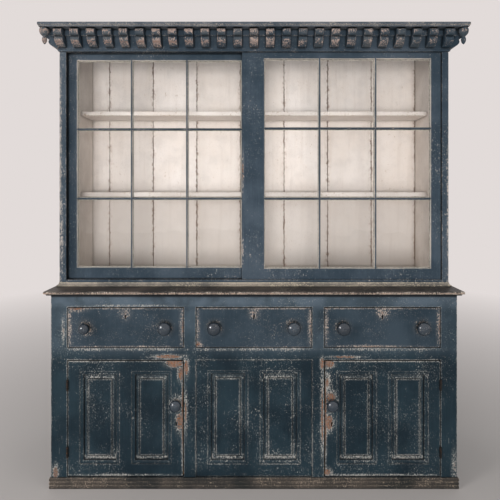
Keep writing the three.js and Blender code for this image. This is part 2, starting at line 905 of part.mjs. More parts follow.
function drawers() {
  const group = new THREE.Group();
  const rows = [
    ['left_drawer', -1, smallDrawerKnob, drawerKnob],
    ['centre_drawer', 0, drawerKnob, drawerKnob],
    ['right_drawer', 1, drawerKnob, drawerKnob],
  ];
  for (const [name, place, leftKnob, rightKnob] of rows) {
    const one = drawer(name, leftKnob, rightKnob);
    one.position.set(place * bayPitch, 0, drawerFloor);
    group.add(one);
  }
  return group;
}

function hungDoors() {
  const group = new THREE.Group();
  for (const [name, side] of [['left_door', -1], ['right_door', 1]]) {
    const one = door(name, side);
    one.position.set(side * bayPitch, 0, bottomRail);
    group.add(one);
    const pinX = side * (openingHalfWidth - hingeGap / 2);
    for (const [level, height] of [['upper', upperHingeHeight], ['lower', lowerHingeHeight]]) {
      const pair = hinge(`${name}_${level}_hinge`, side);
      pair.position.set(pinX, -pinForward, bottomRail + height);
      group.add(pair);
    }
  }
  return group;
}

function displayCase() {
  const group = new THREE.Group();
  group.add(mesh('upper_left_side', upperSide(-1), upperPaint));
  group.add(mesh('upper_right_side', upperSide(1), upperPaint));
  group.add(mesh('upper_floor', upperFloor(), upperPaint));
  group.add(mesh('frieze_rail', friezeRail(), upperPaint));
  group.add(mesh('upper_back', upperBack(), creamPaint));
  group.add(mesh('upper_shelf', shelf(upperShelfTop, upperShelfBoard), creamPaint));
  group.add(mesh('lower_shelf', shelf(lowerShelfTop, lowerShelfBoard), creamPaint));
  group.add(mesh('foot_moulding', footMoulding(), wornPaint));
  group.add(mesh('bracketed_cornice', bracketedCornice(), upperPaint));
  group.add(mesh('cornice_top', corniceTop(), upperPaint));
  for (const [name, side] of [['left_corner_drop', -1], ['right_corner_drop', 1]]) {
    const drop = mesh(name, cornerDrop(), upperPaint);
    drop.position.set(side * (caseHalfWidth + topReach - dropInset), dropInset - topReach, upperHeight);
    group.add(drop);
  }
  const closedLeft = sashJambGap - insideHalfWidth + sashWidth / 2;
  const closedRight = sashBayHalfWidth - sashEndGap - sashWidth / 2;
  group.add(sash('left_sash', 1, closedLeft, rearTrack));
  group.add(sash('right_sash', -1, closedRight, frontTrack));
  group.position.set(0, upperSetback, baseHeight + waistBoard);
  return group;
}

const dresser = new THREE.Group();
dresser.add(baseCase(), drawers(), hungDoors(), displayCase());
dresser.position.set(0, (knobReach - caseDepth) / 2, 0);

export default dresser;
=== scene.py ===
# %% Load the frame
import json
import math
from functools import partial

import bpy
from mathutils import Matrix, Vector

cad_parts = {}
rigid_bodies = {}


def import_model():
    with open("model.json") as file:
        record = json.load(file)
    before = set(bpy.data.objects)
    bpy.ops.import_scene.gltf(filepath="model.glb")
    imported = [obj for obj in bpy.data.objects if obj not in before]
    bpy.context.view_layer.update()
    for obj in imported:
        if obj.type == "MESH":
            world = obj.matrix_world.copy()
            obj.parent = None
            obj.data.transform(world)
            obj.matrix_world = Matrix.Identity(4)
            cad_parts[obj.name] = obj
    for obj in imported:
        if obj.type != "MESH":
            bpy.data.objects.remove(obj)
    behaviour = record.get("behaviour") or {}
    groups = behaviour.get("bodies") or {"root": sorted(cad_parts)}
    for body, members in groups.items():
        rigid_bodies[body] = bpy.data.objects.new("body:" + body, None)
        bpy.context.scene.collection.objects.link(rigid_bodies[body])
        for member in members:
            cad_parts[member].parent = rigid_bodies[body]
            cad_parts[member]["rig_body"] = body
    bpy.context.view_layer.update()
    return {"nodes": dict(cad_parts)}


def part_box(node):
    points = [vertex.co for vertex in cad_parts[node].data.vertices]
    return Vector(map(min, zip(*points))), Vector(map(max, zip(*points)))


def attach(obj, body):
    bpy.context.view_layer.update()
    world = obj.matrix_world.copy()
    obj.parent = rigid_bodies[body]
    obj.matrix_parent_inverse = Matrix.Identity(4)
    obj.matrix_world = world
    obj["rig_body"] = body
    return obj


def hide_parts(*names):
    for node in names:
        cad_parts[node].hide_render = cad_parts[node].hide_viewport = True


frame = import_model()

# %% [markdown]
# # A glazed dresser of painted pine
#
# The frame above is the joiner's model: every board, drawer, door and sash at its real size.
# This lesson dresses it. The large boards keep the frame's own shape with their arrises
# softened, the turned and carved parts are modelled afresh, and everything gets old paint.
# All lengths are metres. The front faces -Y, and the floor is z = 0.

# %% [markdown]
# ## Tools for shader nodes
#
# Everything that has a colour here is made of shader nodes, the room as well as the paint. A
# few small helpers keep the wiring short. One places a node and fills its inputs. The others
# do a sum, a ramp or a noise with sockets, and they need no tree to be named, because every
# socket knows the tree that it is in.


# %% Placing nodes
def fill(node, inputs):
    """Fills inputs of a node: a socket is linked, and a value is set."""
    for key, value in inputs.items():
        if isinstance(value, bpy.types.NodeSocket):
            node.id_data.links.new(value, node.inputs[key])
        else:
            node.inputs[key].default_value = value


def place(tree, kind, inputs=None, **settings):
    """A new node with its settings and inputs."""
    node = tree.nodes.new("ShaderNode" + kind)
    for key, value in settings.items():
        setattr(node, key, value)
    fill(node, inputs or {})
    return node


def use(tree, group, inputs):
    """Places a node group in a tree and gives its outputs."""
    return place(tree, "Group", inputs, node_tree=group).outputs


def tree_of(*values):
    """The tree of the first socket among some values."""
    return next(value.id_data for value in values if isinstance(value, bpy.types.NodeSocket))


print("A node is placed by its kind, and its inputs by their names")


# %% Sums, ramps and noise
def sums(operation, *values):
    """The result of a Math node."""
    inputs = dict(enumerate(values))
    return place(tree_of(*values), "Math", inputs, operation=operation).outputs[0]


plus, less = partial(sums, "ADD"), partial(sums, "SUBTRACT")
times, over = partial(sums, "MULTIPLY"), partial(sums, "DIVIDE")
higher, lower = partial(sums, "MAXIMUM"), partial(sums, "MINIMUM")


def ramp(value, low, high, start=0.0, end=1.0):
    """Turns low..high smoothly into start..end."""
    inputs = {"Value": value, "From Min": low, "From Max": high, "To Min": start, "To Max": end}
    smooth = place(value.id_data, "MapRange", inputs, interpolation_type="SMOOTHSTEP")
    return smooth.outputs["Result"]


def mixed(share, first, second):
    """Two colours mixed by a share of the second."""
    inputs = {0: share, 6: first, 7: second}
    return place(tree_of(share, first, second), "Mix", inputs, data_type="RGBA").outputs[2]


def noise(where, scale, detail=3.0, roughness=0.55):
    """Soft noise from 0 to 1."""
    inputs = {"Vector": where, "Scale": scale, "Detail": detail, "Roughness": roughness}
    return place(where.id_data, "TexNoise", inputs).outputs["Fac"]


def vectors(operation, *values):
    """A Vector Math node."""
    return place(tree_of(*values), "VectorMath", dict(enumerate(values)), operation=operation)


def own_place(tree):
    """Where a point is on the dresser. It moves with the piece when a door swings."""
    return place(tree, "TexCoord").outputs["Object"]


def own_level(tree):
    """How high a point is on the dresser."""
    return place(tree, "SeparateXYZ", {0: own_place(tree)}).outputs["Z"]


def stretched(where, scale):
    """The same place, stretched or squeezed along each direction."""
    return place(where.id_data, "Mapping", {"Vector": where, "Scale": scale}).outputs["Vector"]


print("Sums take sockets and values alike")


# %% Colours
def from_screen(red, green, blue):
    """A colour read off a screen, 0 to 255, as the linear colour that a shader wants."""
    shares = [value / 255 for value in (red, green, blue)]
    linear = [s / 12.92 if s <= 0.04045 else ((s + 0.055) / 1.055) ** 2.4 for s in shares]
    return (*linear, 1.0)


def tinted(colour, share, *tint):
    """A colour with a share of a tint that is given as on a screen."""
    return mixed(share, colour, from_screen(*tint))


room_colour = from_screen(226, 219, 217)
print("The room is", [round(value, 3) for value in room_colour[:3]])

# %% [markdown]
# ## Floor, light and camera
#
# The dresser stands on a plain pale floor in a pale room. A small bright lamp at the upper
# left gives the knobs their shadow on the right, and a weaker one fills in from the right. A
# wide lamp low in front lights the shelves, under the shadow of the cornice. It would show as
# a glow in the glass, so reflections and the glass don't see it. A plain world lights the
# rest. The pale background is only for the camera, for reflections and for the glass, so it
# puts no extra light on the paint.

# %% World
scene = bpy.context.scene
scene.view_settings.view_transform = "Standard"
world = bpy.data.worlds.new("Pale_room")
scene.world = world
world.use_nodes = True
sky = world.node_tree
sky.nodes.clear()
ray = place(sky, "LightPath").outputs
seen = higher(higher(ray["Is Camera Ray"], ray["Is Glossy Ray"]), ray["Is Transmission Ray"])
light = place(sky, "Background", {"Color": (0.94, 0.97, 1.0, 1.0), "Strength": 0.42})
backdrop = place(sky, "Background", {"Color": room_colour})
choose = place(sky, "MixShader", {0: seen, 1: light.outputs[0], 2: backdrop.outputs[0]})
place(sky, "OutputWorld", {"Surface": choose.outputs[0]})
print("World light", round(light.inputs["Strength"].default_value, 2))


# %% Lamps
def lamp(name, stand, target, width, power, colour):
    """A square area lamp that looks at a point."""
    data = bpy.data.lights.new(name, "AREA")
    data.shape = "SQUARE"
    data.size = width
    data.energy = power
    data.color = colour
    one = bpy.data.objects.new(name, data)
    scene.collection.objects.link(one)
    one.location = stand
    one.rotation_euler = (Vector(target) - Vector(stand)).to_track_quat("-Z", "Y").to_euler()
    return one


daylight, warm_light = (1.0, 0.98, 0.98), (1.0, 0.98, 0.96)
waist_middle, shelves_middle = (0, -0.1, 1.1), (0, 0, 1.5)
window, right_of_room, low_in_front = (-3.6, -2.9, 2.1), (4.3, -3.2, 2.1), (-0.2, -4.5, 1.0)
lamp("Window_lamp", window, waist_middle, width=1.3, power=78, colour=daylight)
fill_lamp = lamp("Fill_lamp", right_of_room, waist_middle, width=2.4, power=40, colour=warm_light)
room_lamp = lamp("Room_lamp", low_in_front, shelves_middle, width=1.6, power=146, colour=daylight)
fill_lamp.visible_glossy = room_lamp.visible_glossy = False
room_lamp.visible_transmission = False

# %% [markdown]
# The floor is one large disc. Far from the dresser it fades to the colour of the room, so the
# camera sees no line where it ends, and near the dresser it keeps the shadow.


# %% Floor
def new_material(name):
    """A material and its Principled shader."""
    material = bpy.data.materials.new(name)
    material.use_nodes = True
    return material, material.node_tree.nodes["Principled BSDF"]


def surface(material, shader):
    """Sends a shader to a material's output."""
    fill(material.node_tree.nodes["Material Output"], {"Surface": shader.outputs[0]})


floor_radius, fade_start, fade_end = 14, 1.2, 5.0
bpy.ops.object.select_all(action="DESELECT")
bpy.ops.mesh.primitive_circle_add(vertices=64, radius=floor_radius, fill_type="NGON")
floor = bpy.context.object
floor.name = "Floor"
pale_floor, floor_shader = new_material("Pale_floor")
fill(floor_shader, {"Base Color": from_screen(190, 184, 180), "Roughness": 0.8})
tree = pale_floor.node_tree
distance = vectors("LENGTH", own_place(tree)).outputs["Value"]
fade = place(tree, "MapRange", {"Value": distance, "From Min": fade_start, "From Max": fade_end})
seen = times(fade.outputs["Result"], place(tree, "LightPath").outputs["Is Camera Ray"])
far = place(tree, "Emission", {"Color": room_colour})
both = place(tree, "MixShader", {0: seen, 1: floor_shader.outputs[0], 2: far.outputs[0]})
surface(pale_floor, both)
floor.data.materials.append(pale_floor)
print("Floor radius", floor_radius, "m")

# %% [markdown]
# The camera stands straight in front, at the height of the lower shelf. It isn't tilted, since
# that would make upright edges lean. Its picture is shifted instead, until the dresser fits.

# %% Camera
base_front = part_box("base_face_frame")[0].y
camera_data = bpy.data.cameras.new("Camera")
camera_data.lens = 32.05
camera_data.sensor_width = 36
camera_data.shift_x = -0.008
camera_data.shift_y = -0.1146
camera = bpy.data.objects.new("Camera", camera_data)
camera.location = (0, -2.326, 1.395)
camera.rotation_euler = (math.radians(90), 0, 0)
scene.collection.objects.link(camera)
scene.camera = camera
print("The camera stands", round(base_front - camera.location.y, 3), "m in front of the base")

# %% [markdown]
# ## Rubbed arrises, and dirt and painted shade in corners
#
# Old paint is built from the same few effects on every board: rubbed arrises, chips, worn
# places and grain. Each effect is a node group, made once and placed in each material.
#
# Hands, dusters and feet take paint off outer corners first, and dirt stays in inner ones.
# The Bevel node gives the normal that a rounded corner would have. Where it turns away from
# the real normal there is an arris nearby. The Ambient Occlusion node tells an inner corner
# from an outer one, so the rubbing is kept off the inner ones, and they are darkened: partly
# dirt and partly painted shade, which also darkens narrow gaps between parts.


# %% Group for arrises and corners
def new_group(name, inputs, outputs):
    """An empty group: its inputs with their starting values, its outputs with their kinds."""
    tree = bpy.data.node_groups.new(name, "ShaderNodeTree")
    kinds = {1: "Float", 3: "Vector", 4: "Color"}
    for label, value in inputs.items():
        kind = kinds[len(value) if isinstance(value, tuple) else 1]
        socket = tree.interface.new_socket(label, in_out="INPUT", socket_type="NodeSocket" + kind)
        socket.default_value = value
    for label, kind in outputs.items():
        tree.interface.new_socket(label, in_out="OUTPUT", socket_type="NodeSocket" + kind)
    given = tree.nodes.new("NodeGroupInput").outputs
    return tree, given, tree.nodes.new("NodeGroupOutput")


arris_group, given, result = new_group(
    "Arrises", {"Width": 0.005, "Crevice": 0.008}, {"Rubbed": "Float", "Dirt_and_shade": "Float"}
)
true_normal = place(arris_group, "NewGeometry").outputs["True Normal"]
rounded = place(arris_group, "Bevel", {"Radius": given["Width"]}, samples=8).outputs["Normal"]
turned = vectors("DOT_PRODUCT", true_normal, rounded).outputs["Value"]
near_arris = ramp(sums("SQRT", less(1.0, turned)), 0.02, 0.42)
hollow = place(arris_group, "AmbientOcclusion", {"Distance": given["Crevice"]}, samples=6)
openness = hollow.outputs["AO"]
rubbed = times(near_arris, ramp(openness, 0.55, 0.85))
# The second output darkens inner corners and gaps: partly dirt, partly painted shade.
fill(result, {"Rubbed": rubbed, "Dirt_and_shade": ramp(openness, 0.45, 0.9, 1.0, 0.0)})
print("Group:", arris_group.name)

# %% [markdown]
# ## Worn places
#
# Some wear has its own place: round a keyhole, under a knob, along the edge that a hand pulls
# open. Each such place is a soft oval at a point of the front. A group gives its strength from
# 1 in the middle to 0 at its rim, and a material takes the strongest of its list. The ovals
# reach 3 m from front to back, so a list is only used on what is seen from the front.

# %% Group for a worn place
spot_group, given, result = new_group(
    "Worn_place",
    {"Centre": (0, 0, 0), "Reach": (0.1, 1, 0.1), "Strength": 1.0},
    {"Wear": "Float"},
)
offset = vectors("SUBTRACT", own_place(spot_group), given["Centre"]).outputs[0]
share = vectors("DIVIDE", offset, given["Reach"]).outputs[0]
inside = ramp(vectors("LENGTH", share).outputs["Value"], 0.0, 1.15, 1.0, 0.0)
fill(result, {"Wear": times(inside, given["Strength"])})
print("Group:", spot_group.name)

# %% Strongest of several worn places
reach_through = 3


def worn_places(tree, spots):
    """The strongest wear of a list of (x, z, reach across, reach up, strength)."""
    strongest = 0.0
    for x, z, across, up, strength in spots:
        reach = (across, reach_through, up)
        spot = use(tree, spot_group, {"Centre": (x, 0, z), "Reach": reach, "Strength": strength})
        strongest = higher(strongest, spot["Wear"])
    return strongest


print("Worn places are lists of (x, z, reach across, reach up, strength)")

# %% [markdown]
# ## Pine
#
# Under the paint, and inside the base, is pine: warm stripes along the board. Noise that is
# squeezed across the grain and left long along it gives the stripes, and the same noise six
# times finer gives the fibres between them.

# %% Group for pine
pine_group, given, result = new_group(
    "Pine",
    {
        "Light": from_screen(196, 154, 112),
        "Dark": from_screen(138, 96, 62),
        "Grain": (60, 60, 4),
    },
    {"Colour": "Color", "Height": "Float"},
)
along_grain = vectors("MULTIPLY", own_place(pine_group), given["Grain"]).outputs[0]
stripes = noise(along_grain, 1.0, 4.0, 0.6)
fibres = noise(along_grain, 6.0, 2.0, 0.6)
grain = plus(times(stripes, 0.75), times(fibres, 0.25))
pine_colour = mixed(ramp(grain, 0.26, 0.74), given["Light"], given["Dark"])
fill(result, {"Colour": pine_colour, "Height": grain})
print("Group:", pine_group.name)

# %% [markdown]
# ## Old paint
#
# The paint is three layers: dark blue on a pale ground on bare wood. A wear level is raised by
# arrises and worn places, and made ragged by noise. Where it passes one mark the ground shows,
# and where it passes a second mark the wood does, so each patch of wood has a pale rim, as a
# chipped edge has. Before it wears through, rubbed paint turns hazy, and paint high on the
# frame is lighter, partly faded in the sun and partly painted light. Small chips come in
# clusters, and scratches run with the boards. The group is long, so it is built in four steps.

# %% Old paint: the group and its noises
pale_ground, orange_pine = (170, 163, 152), (132, 84, 52)
paint_group, given, result = new_group(
    "Old_paint",
    {
        "Paint": from_screen(44, 60, 72),
        "Faded": from_screen(70, 84, 94),
        "Ground": from_screen(*pale_ground),
        "Wood": from_screen(*orange_pine),
        "Rubbed": 0.0,
        "Dirt_and_shade": 0.0,
        "Worn place": 0.0,
        "Arris wear": 0.6,
        "Chips": 0.5,
        "Scratches": 0.5,
        "Bareness": 0.2,
        "Haze": 0.5,
        "Sunned_and_lit": from_screen(76, 88, 98),
        "Sunning_and_light": 0.0,
    },
    {"Colour": "Color", "Roughness": "Float", "Height": "Float"},
)
here = own_place(paint_group)
patches = noise(here, 5.0, 5.0, 0.6)
ragged = noise(here, 40.0, 5.0, 0.65)
flecks = noise(stretched(here, (1, 1, 0.6)), 190.0, 3.0, 0.6)
brushed = noise(stretched(here, (160, 160, 9)), 1.0, 4.0, 0.6)
print("Group:", paint_group.name)

# %% [markdown]
# The wear level starts from the stronger of two things, the rubbing of the arrises and the worn
# place, and clusters of chips add to it. Two noises, one of a few centimetres and one of a few
# millimetres, are added last, so that the level crosses its marks along a ragged line. The
# wood only shows well in the strongest worn places, and elsewhere just a little of it does.

# %% Old paint: how deep it is worn
ground_mark, wood_mark = 0.42, 0.48
uneven = ramp(patches, 0.35, 0.62, 0.55, 1.15)
rub = times(given["Rubbed"], times(given["Arris wear"], uneven))
wear = higher(rub, given["Worn place"])
cluster = ramp(noise(here, 6.0, 3.0, 0.6), 0.38, 0.66, 0.0, 0.34)
chips = times(given["Chips"], cluster)
raggedness = plus(times(ragged, 0.8), times(flecks, 2.2))
level = plus(plus(wear, chips), less(raggedness, 1.5))
bare_ground = ramp(level, ground_mark, 0.66)
bareness = higher(given["Bareness"], ramp(given["Worn place"], 0.38, 0.58))
broken_wood = times(ramp(level, wood_mark, 0.64), ramp(flecks, 0.4, 0.6, 0.45, 1.0))
bare_wood = times(broken_wood, bareness)
print("Ground shows from a wear level of", ground_mark, "and wood from", wood_mark)

# %% [markdown]
# Scratches are noise drawn out along the boards, of which only the highest ridges are kept.
# Specks are pinholes that thicken where there are chips. The coat itself is a blue that changes
# from patch to patch, and where it is rubbed thin the ground shows through as a pale haze.

# %% Old paint: scratches, specks and the coat
lines = noise(stretched(here, (240, 240, 16)), 1.0, 2.0, 0.5)
line_level = plus(lines, times(patches, times(given["Scratches"], 0.4)))
scratches = ramp(line_level, 0.82, 0.88)
pinholes = ramp(noise(here, 250.0, 1.0, 0.5), 0.66, 0.75)
specks = times(pinholes, times(chips, 6.0))
marks = higher(times(scratches, 0.6), lower(specks, 0.6))
pale = higher(bare_ground, marks)
tone = plus(times(patches, 0.8), times(brushed, 0.2))
shaded_coat = mixed(ramp(tone, 0.36, 0.66), given["Paint"], given["Faded"])
# The sunned colour lightens the rails: partly sun fading, partly painted light.
solid_coat = mixed(given["Sunning_and_light"], shaded_coat, given["Sunned_and_lit"])
thinned = higher(rub, times(given["Worn place"], 0.8))
streaked = plus(times(brushed, 0.15), times(flecks, 0.85))
haze = times(times(thinned, given["Haze"]), ramp(streaked, 0.38, 0.62, 0.1, 1.4))
coat = mixed(haze, solid_coat, given["Ground"])
print("The coat is shaded, sunned and hazy")

# %% [markdown]
# Now the layers go over one another: the coat, the ground where it is chipped, the wood in the
# deepest chips, and dirt with painted shade on top in the corners and gaps. Bare places are
# duller and lie a little lower.

# %% Old paint: the layers together
thin_ground = mixed(0.5, given["Ground"], coat)
ground_tone = mixed(ramp(flecks, 0.42, 0.6), thin_ground, given["Ground"])
chipped = mixed(pale, coat, ground_tone)
old_wood = {"Light": given["Wood"], "Dark": from_screen(62, 39, 26), "Grain": (150, 150, 30)}
stripped = mixed(bare_wood, chipped, use(paint_group, pine_group, old_wood)["Colour"])
# Darkens inner corners and gaps: dirt and painted shade.
with_dirt_and_shade = tinted(stripped, times(given["Dirt_and_shade"], 0.9), 12, 14, 16)
dullness = ramp(higher(pale, bare_wood), 0.0, 1.0, 0.46, 0.78)
height = less(times(brushed, 0.35), plus(pale, bare_wood))
fill(result, {"Colour": with_dirt_and_shade, "Roughness": dullness, "Height": height})
print("The paint gives its", ", ".join(socket.name for socket in result.inputs if socket.name))

# %% [markdown]
# ## Painted materials
#
# A painted material is this group with its own colours, worn places and amounts of wear. The
# base is darker than the display case, for instance, partly its paint and partly painted shade
# that deepens towards the floor, and the knobs are polished by hands.

# %% Painted materials
chip_depth = 0.00012


def bump(shader, height, depth):
    """Raises and sinks the surface of a shader by a depth in metres."""
    inputs = {"Strength": 1.0, "Distance": depth, "Height": height}
    fill(shader, {"Normal": place(shader.id_data, "Bump", inputs).outputs["Normal"]})


def wear_amounts(arris_wear=0.6, chips=0.5, scratches=0.5, haze=0.5):
    """Amounts of wear, under the names that the paint group gives them."""
    return {"Arris wear": arris_wear, "Chips": chips, "Scratches": scratches, "Haze": haze}


def painted(
    name, colours, spots=(), width=0.008, crevice=0.012, shine=0.2, polish=0.0, local=None, **wear
):
    """Old paint with its own colours, worn places and amounts of wear.

    A local function may change what goes into the paint group for one board.
    """
    material, shader = new_material(name)
    tree = material.node_tree
    arrises = use(tree, arris_group, {"Width": width, "Crevice": crevice})
    inputs = {**colours, **wear_amounts(**wear)}
    inputs.update({"Rubbed": arrises["Rubbed"], "Dirt_and_shade": arrises["Dirt_and_shade"]})
    if spots:
        inputs["Worn place"] = worn_places(tree, spots)
    if local:
        local(tree, inputs)
    layers = use(tree, paint_group, inputs)
    fill(shader, {"Base Color": layers["Colour"], "Specular IOR Level": shine})
    fill(shader, {"Roughness": less(layers["Roughness"], polish)})
    bump(shader, layers["Height"], depth=chip_depth)
    return material


def tones(paint, faded, ground=pale_ground, wood=orange_pine):
    """The colours of one old paint, as on a screen."""
    layers = {"Paint": paint, "Faded": faded, "Ground": ground, "Wood": wood}
    return {layer: from_screen(*colour) for layer, colour in layers.items()}


# The blues get lighter upwards: partly different paints, partly painted light falling off below.
base_blue = tones((15, 29, 37), (29, 45, 53), (152, 154, 150))
drawer_blue = tones((32, 45, 54), (48, 60, 69), (156, 148, 140))
upper_blue = tones((40, 53, 63), (62, 73, 83), (164, 160, 154))
print("Base paint", [round(value, 3) for value in base_blue["Paint"][:3]])

# %% [markdown]
# ## Boards with softened arrises
#
# The frame's own boards have the right shape, but an edge that is perfectly sharp catches no
# light. A copy of the mesh is joined up at its corners, its flat faces are cleared of needless
# edges, and a narrow Bevel rounds every arris. Weighted normals keep the flats flat.


# %% Copying a solid and rounding its arrises
same_point = 0.00001


def only(piece):
    """Selects one object and makes it active."""
    bpy.ops.object.select_all(action="DESELECT")
    piece.select_set(True)
    bpy.context.view_layer.objects.active = piece


def open_all(piece):
    """Opens a piece in edit mode with all of it selected."""
    only(piece)
    bpy.ops.object.mode_set(mode="EDIT")
    bpy.ops.mesh.select_all(action="SELECT")


def close_outwards():
    """Turns every face of the piece in edit mode outwards and leaves edit mode."""
    bpy.ops.mesh.select_all(action="SELECT")
    bpy.ops.mesh.normals_make_consistent(inside=False)
    bpy.ops.object.mode_set(mode="OBJECT")


def copy_of(node):
    """A copy of a frame solid as a new object with joined corners."""
    piece = bpy.data.objects.new(node.capitalize(), frame["nodes"][node].data.copy())
    piece.data.name = piece.name
    piece.data.materials.clear()
    scene.collection.objects.link(piece)
    open_all(piece)
    bpy.ops.mesh.remove_doubles(threshold=same_point)
    bpy.ops.mesh.dissolve_limited(angle_limit=math.radians(1))
    bpy.ops.object.mode_set(mode="OBJECT")
    return piece


def ease(piece, width, segments=2, angle=30):
    """Rounds the arrises of a piece and keeps its flats flat."""
    only(piece)
    bpy.ops.object.shade_smooth()
    rounding = piece.modifiers.new("Arrises", "BEVEL")
    rounding.width = width
    rounding.segments = segments
    rounding.limit_method = "ANGLE"
    rounding.angle_limit = math.radians(angle)
    bpy.ops.object.modifier_apply(modifier=rounding.name)
    flats = piece.modifiers.new("Flats", "WEIGHTED_NORMAL")
    flats.weight = 50
    bpy.ops.object.modifier_apply(modifier=flats.name)


print("Boards are copied and softened as they are needed")

# %% [markdown]
# A drawer or a door of a dresser this old has dark gaps round it that show from across the
# room, wider than the joiner's clearance in the frame. So the copies of their heads and of the
# doors' latch edges are planed back by a few millimetres, and their edges are painted near
# black, as painted shadow in the gaps along with some dirt.


# %% Planing, finishing and keeping
board_arris, fine_arris, thin_arris = 0.0008, 0.0006, 0.0005
worn_arris, box_arris, iron_arris = 0.0012, 0.0010, 0.0003


def body_of_node(node):
    """The body that a frame solid rides on."""
    return frame["nodes"][node]["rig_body"]


def keep_piece(piece, body, slot, *nodes):
    """Says what the piece rides on and hides the solids that it stands for; slot is not used."""
    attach(piece, body)
    if nodes:
        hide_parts(*nodes)


def clear_picks(piece):
    """Unselects every face, edge and vertex of a piece."""
    for part in (*piece.data.polygons, *piece.data.edges, *piece.data.vertices):
        part.select = False


def planed(piece, cuts):
    """Planes edges of a piece back. Each cut is a test of a point and the way that it moves."""
    only(piece)
    for test, move in cuts:
        clear_picks(piece)
        for vertex in piece.data.vertices:
            vertex.select = test(vertex.co)
        bpy.ops.object.mode_set(mode="EDIT")
        bpy.ops.mesh.select_mode(type="VERT")
        bpy.ops.transform.translate(value=move)
        bpy.ops.object.mode_set(mode="OBJECT")


def finish(piece, first, *others):
    """Gives a piece its finishes. Each other one has a test of a face's middle and normal."""
    piece.data.materials.append(first)
    for number, (material, test) in enumerate(others, start=1):
        piece.data.materials.append(material)
        for face in piece.data.polygons:
            if test(face.center, face.normal):
                face.material_index = number


def softened(node, slot, finishes, width=board_arris, segments=2, shape=None):
    """A copy that stands for its solid: shaped if need be, softened and finished."""
    piece = copy_of(node)
    if shape:
        shape(piece)
    ease(piece, width, segments)
    keep_piece(piece, body_of_node(node), slot, node)
    finish(piece, *finishes)
    return piece


print("A finish is a material, or a material and a test of where it goes")

# %% [markdown]
# ## Bare pine, iron and glass
#
# The inside of the base, the drawer boxes and the backs of the doors were never painted, so
# they show pine that has gone brown. The backs are upright boards, each with a shade of its
# own and a dark line at its joint. The joints are found from the distance to the nearest board
# edge: the first board is narrower than the rest.

# %% Back boards
first_joint = -0.8377
board_width = 0.253


def boards_across(tree):
    """Which back board a point is on, as a growing number, and how far the nearest joint is."""
    across = place(tree, "SeparateXYZ", {0: own_place(tree)}).outputs["X"]
    count = over(less(across, first_joint), board_width)
    return count, times(sums("PINGPONG", count, 0.5), board_width)


def board_shade(count):
    """A shade from 0 to 1 of its own for each board."""
    board = {1: sums("FLOOR", count)}
    return place(count.id_data, "TexWhiteNoise", board, noise_dimensions="1D").outputs[0]


print("Board joints every", board_width, "m from", first_joint)


# %% Bare pine
def bare_pine(name, grain, boards=False):
    """Unpainted pine with its grain along the longest reach."""
    material, shader = new_material(name)
    tree = material.node_tree
    light, dark = from_screen(176, 140, 104), from_screen(128, 94, 66)
    wood = use(tree, pine_group, {"Light": light, "Dark": dark, "Grain": grain})
    clouds = noise(stretched(own_place(tree), (5, 5, 1.6)), 1.0, 5.0, 0.65)
    colour = tinted(wood["Colour"], times(ramp(clouds, 0.36, 0.66), 0.35), 112, 90, 72)
    if boards:
        count, gap = boards_across(tree)
        colour = tinted(colour, times(board_shade(count), 0.5), 104, 80, 60)
        colour = tinted(colour, ramp(gap, 0.0012, 0.0030, 0.9, 0.0), 26, 20, 16)
    # Inner corners and gaps are darkened: dirt and painted shade.
    dirt_and_shade = use(tree, arris_group, {"Width": 0.003})["Dirt_and_shade"]
    colour = tinted(colour, times(dirt_and_shade, 0.6), 44, 32, 24)
    fill(shader, {"Base Color": colour, "Roughness": 0.72, "Specular IOR Level": 0.3})
    bump(shader, wood["Height"], depth=0.0002)
    return material


pine_upright = bare_pine("Bare_pine_upright", (70, 70, 4))
pine_level = bare_pine("Bare_pine_level", (4, 70, 70))
pine_deep = bare_pine("Bare_pine_deep", (70, 4, 70))
pine_boards = bare_pine("Bare_pine_boards", (70, 70, 4), True)
print("Pine grain runs up, across and back")

# %% [markdown]
# The hinges and locks are dark iron, with a little brown rust in soft patches.

# %% Iron
iron, shader = new_material("Old_iron")
here = own_place(iron.node_tree)
rust = ramp(noise(here, 90.0, 4.0, 0.7), 0.5, 0.68)
rusty = mixed(rust, from_screen(52, 50, 48), from_screen(92, 62, 44))
rough, metallic = ramp(rust, 0.0, 1.0, 0.42, 0.8), ramp(rust, 0.0, 1.0, 0.85, 0.1)
fill(shader, {"Base Color": rusty, "Roughness": rough, "Metallic": metallic})
bump(shader, noise(here, 400.0, 2.0, 0.6), depth=0.0003)
print("Iron:", iron.name)

# %% [markdown]
# The glass is clear and thin, with the slow waves of old drawn glass. It lets shadow rays and
# diffuse rays through, or the shelves behind it would stand in the dark.

# %% Glass
glass, shader = new_material("Window_glass")
tree = glass.node_tree
clear_green = (0.985, 0.995, 0.99, 1.0)
fill(shader, {"Base Color": clear_green, "Roughness": 0.0, "IOR": 1.45, "Transmission Weight": 1.0})
bump(shader, noise(own_place(tree), 9.0, 1.0, 0.4), depth=0.0008)
ray = place(tree, "LightPath").outputs
through = higher(ray["Is Shadow Ray"], ray["Is Diffuse Ray"])
clear = place(tree, "BsdfTransparent")
surface(glass, place(tree, "MixShader", {0: through, 1: shader.outputs[0], 2: clear.outputs[0]}))
print("Glass:", glass.name)

# %% [markdown]
# ## The base case
#
# The face frame is one glued frame of stiles, rails and muntins. It is painted where it shows
# and bare behind. The wear is where hands go: on the muntins beside the two doors, on the rail
# over their corners and at the foot of the left stile. The rails over the doors and over the
# drawers are lighter, partly faded and partly painted light, and a dark line right under the
# waist board is painted shadow of its overhang, with some dirt.

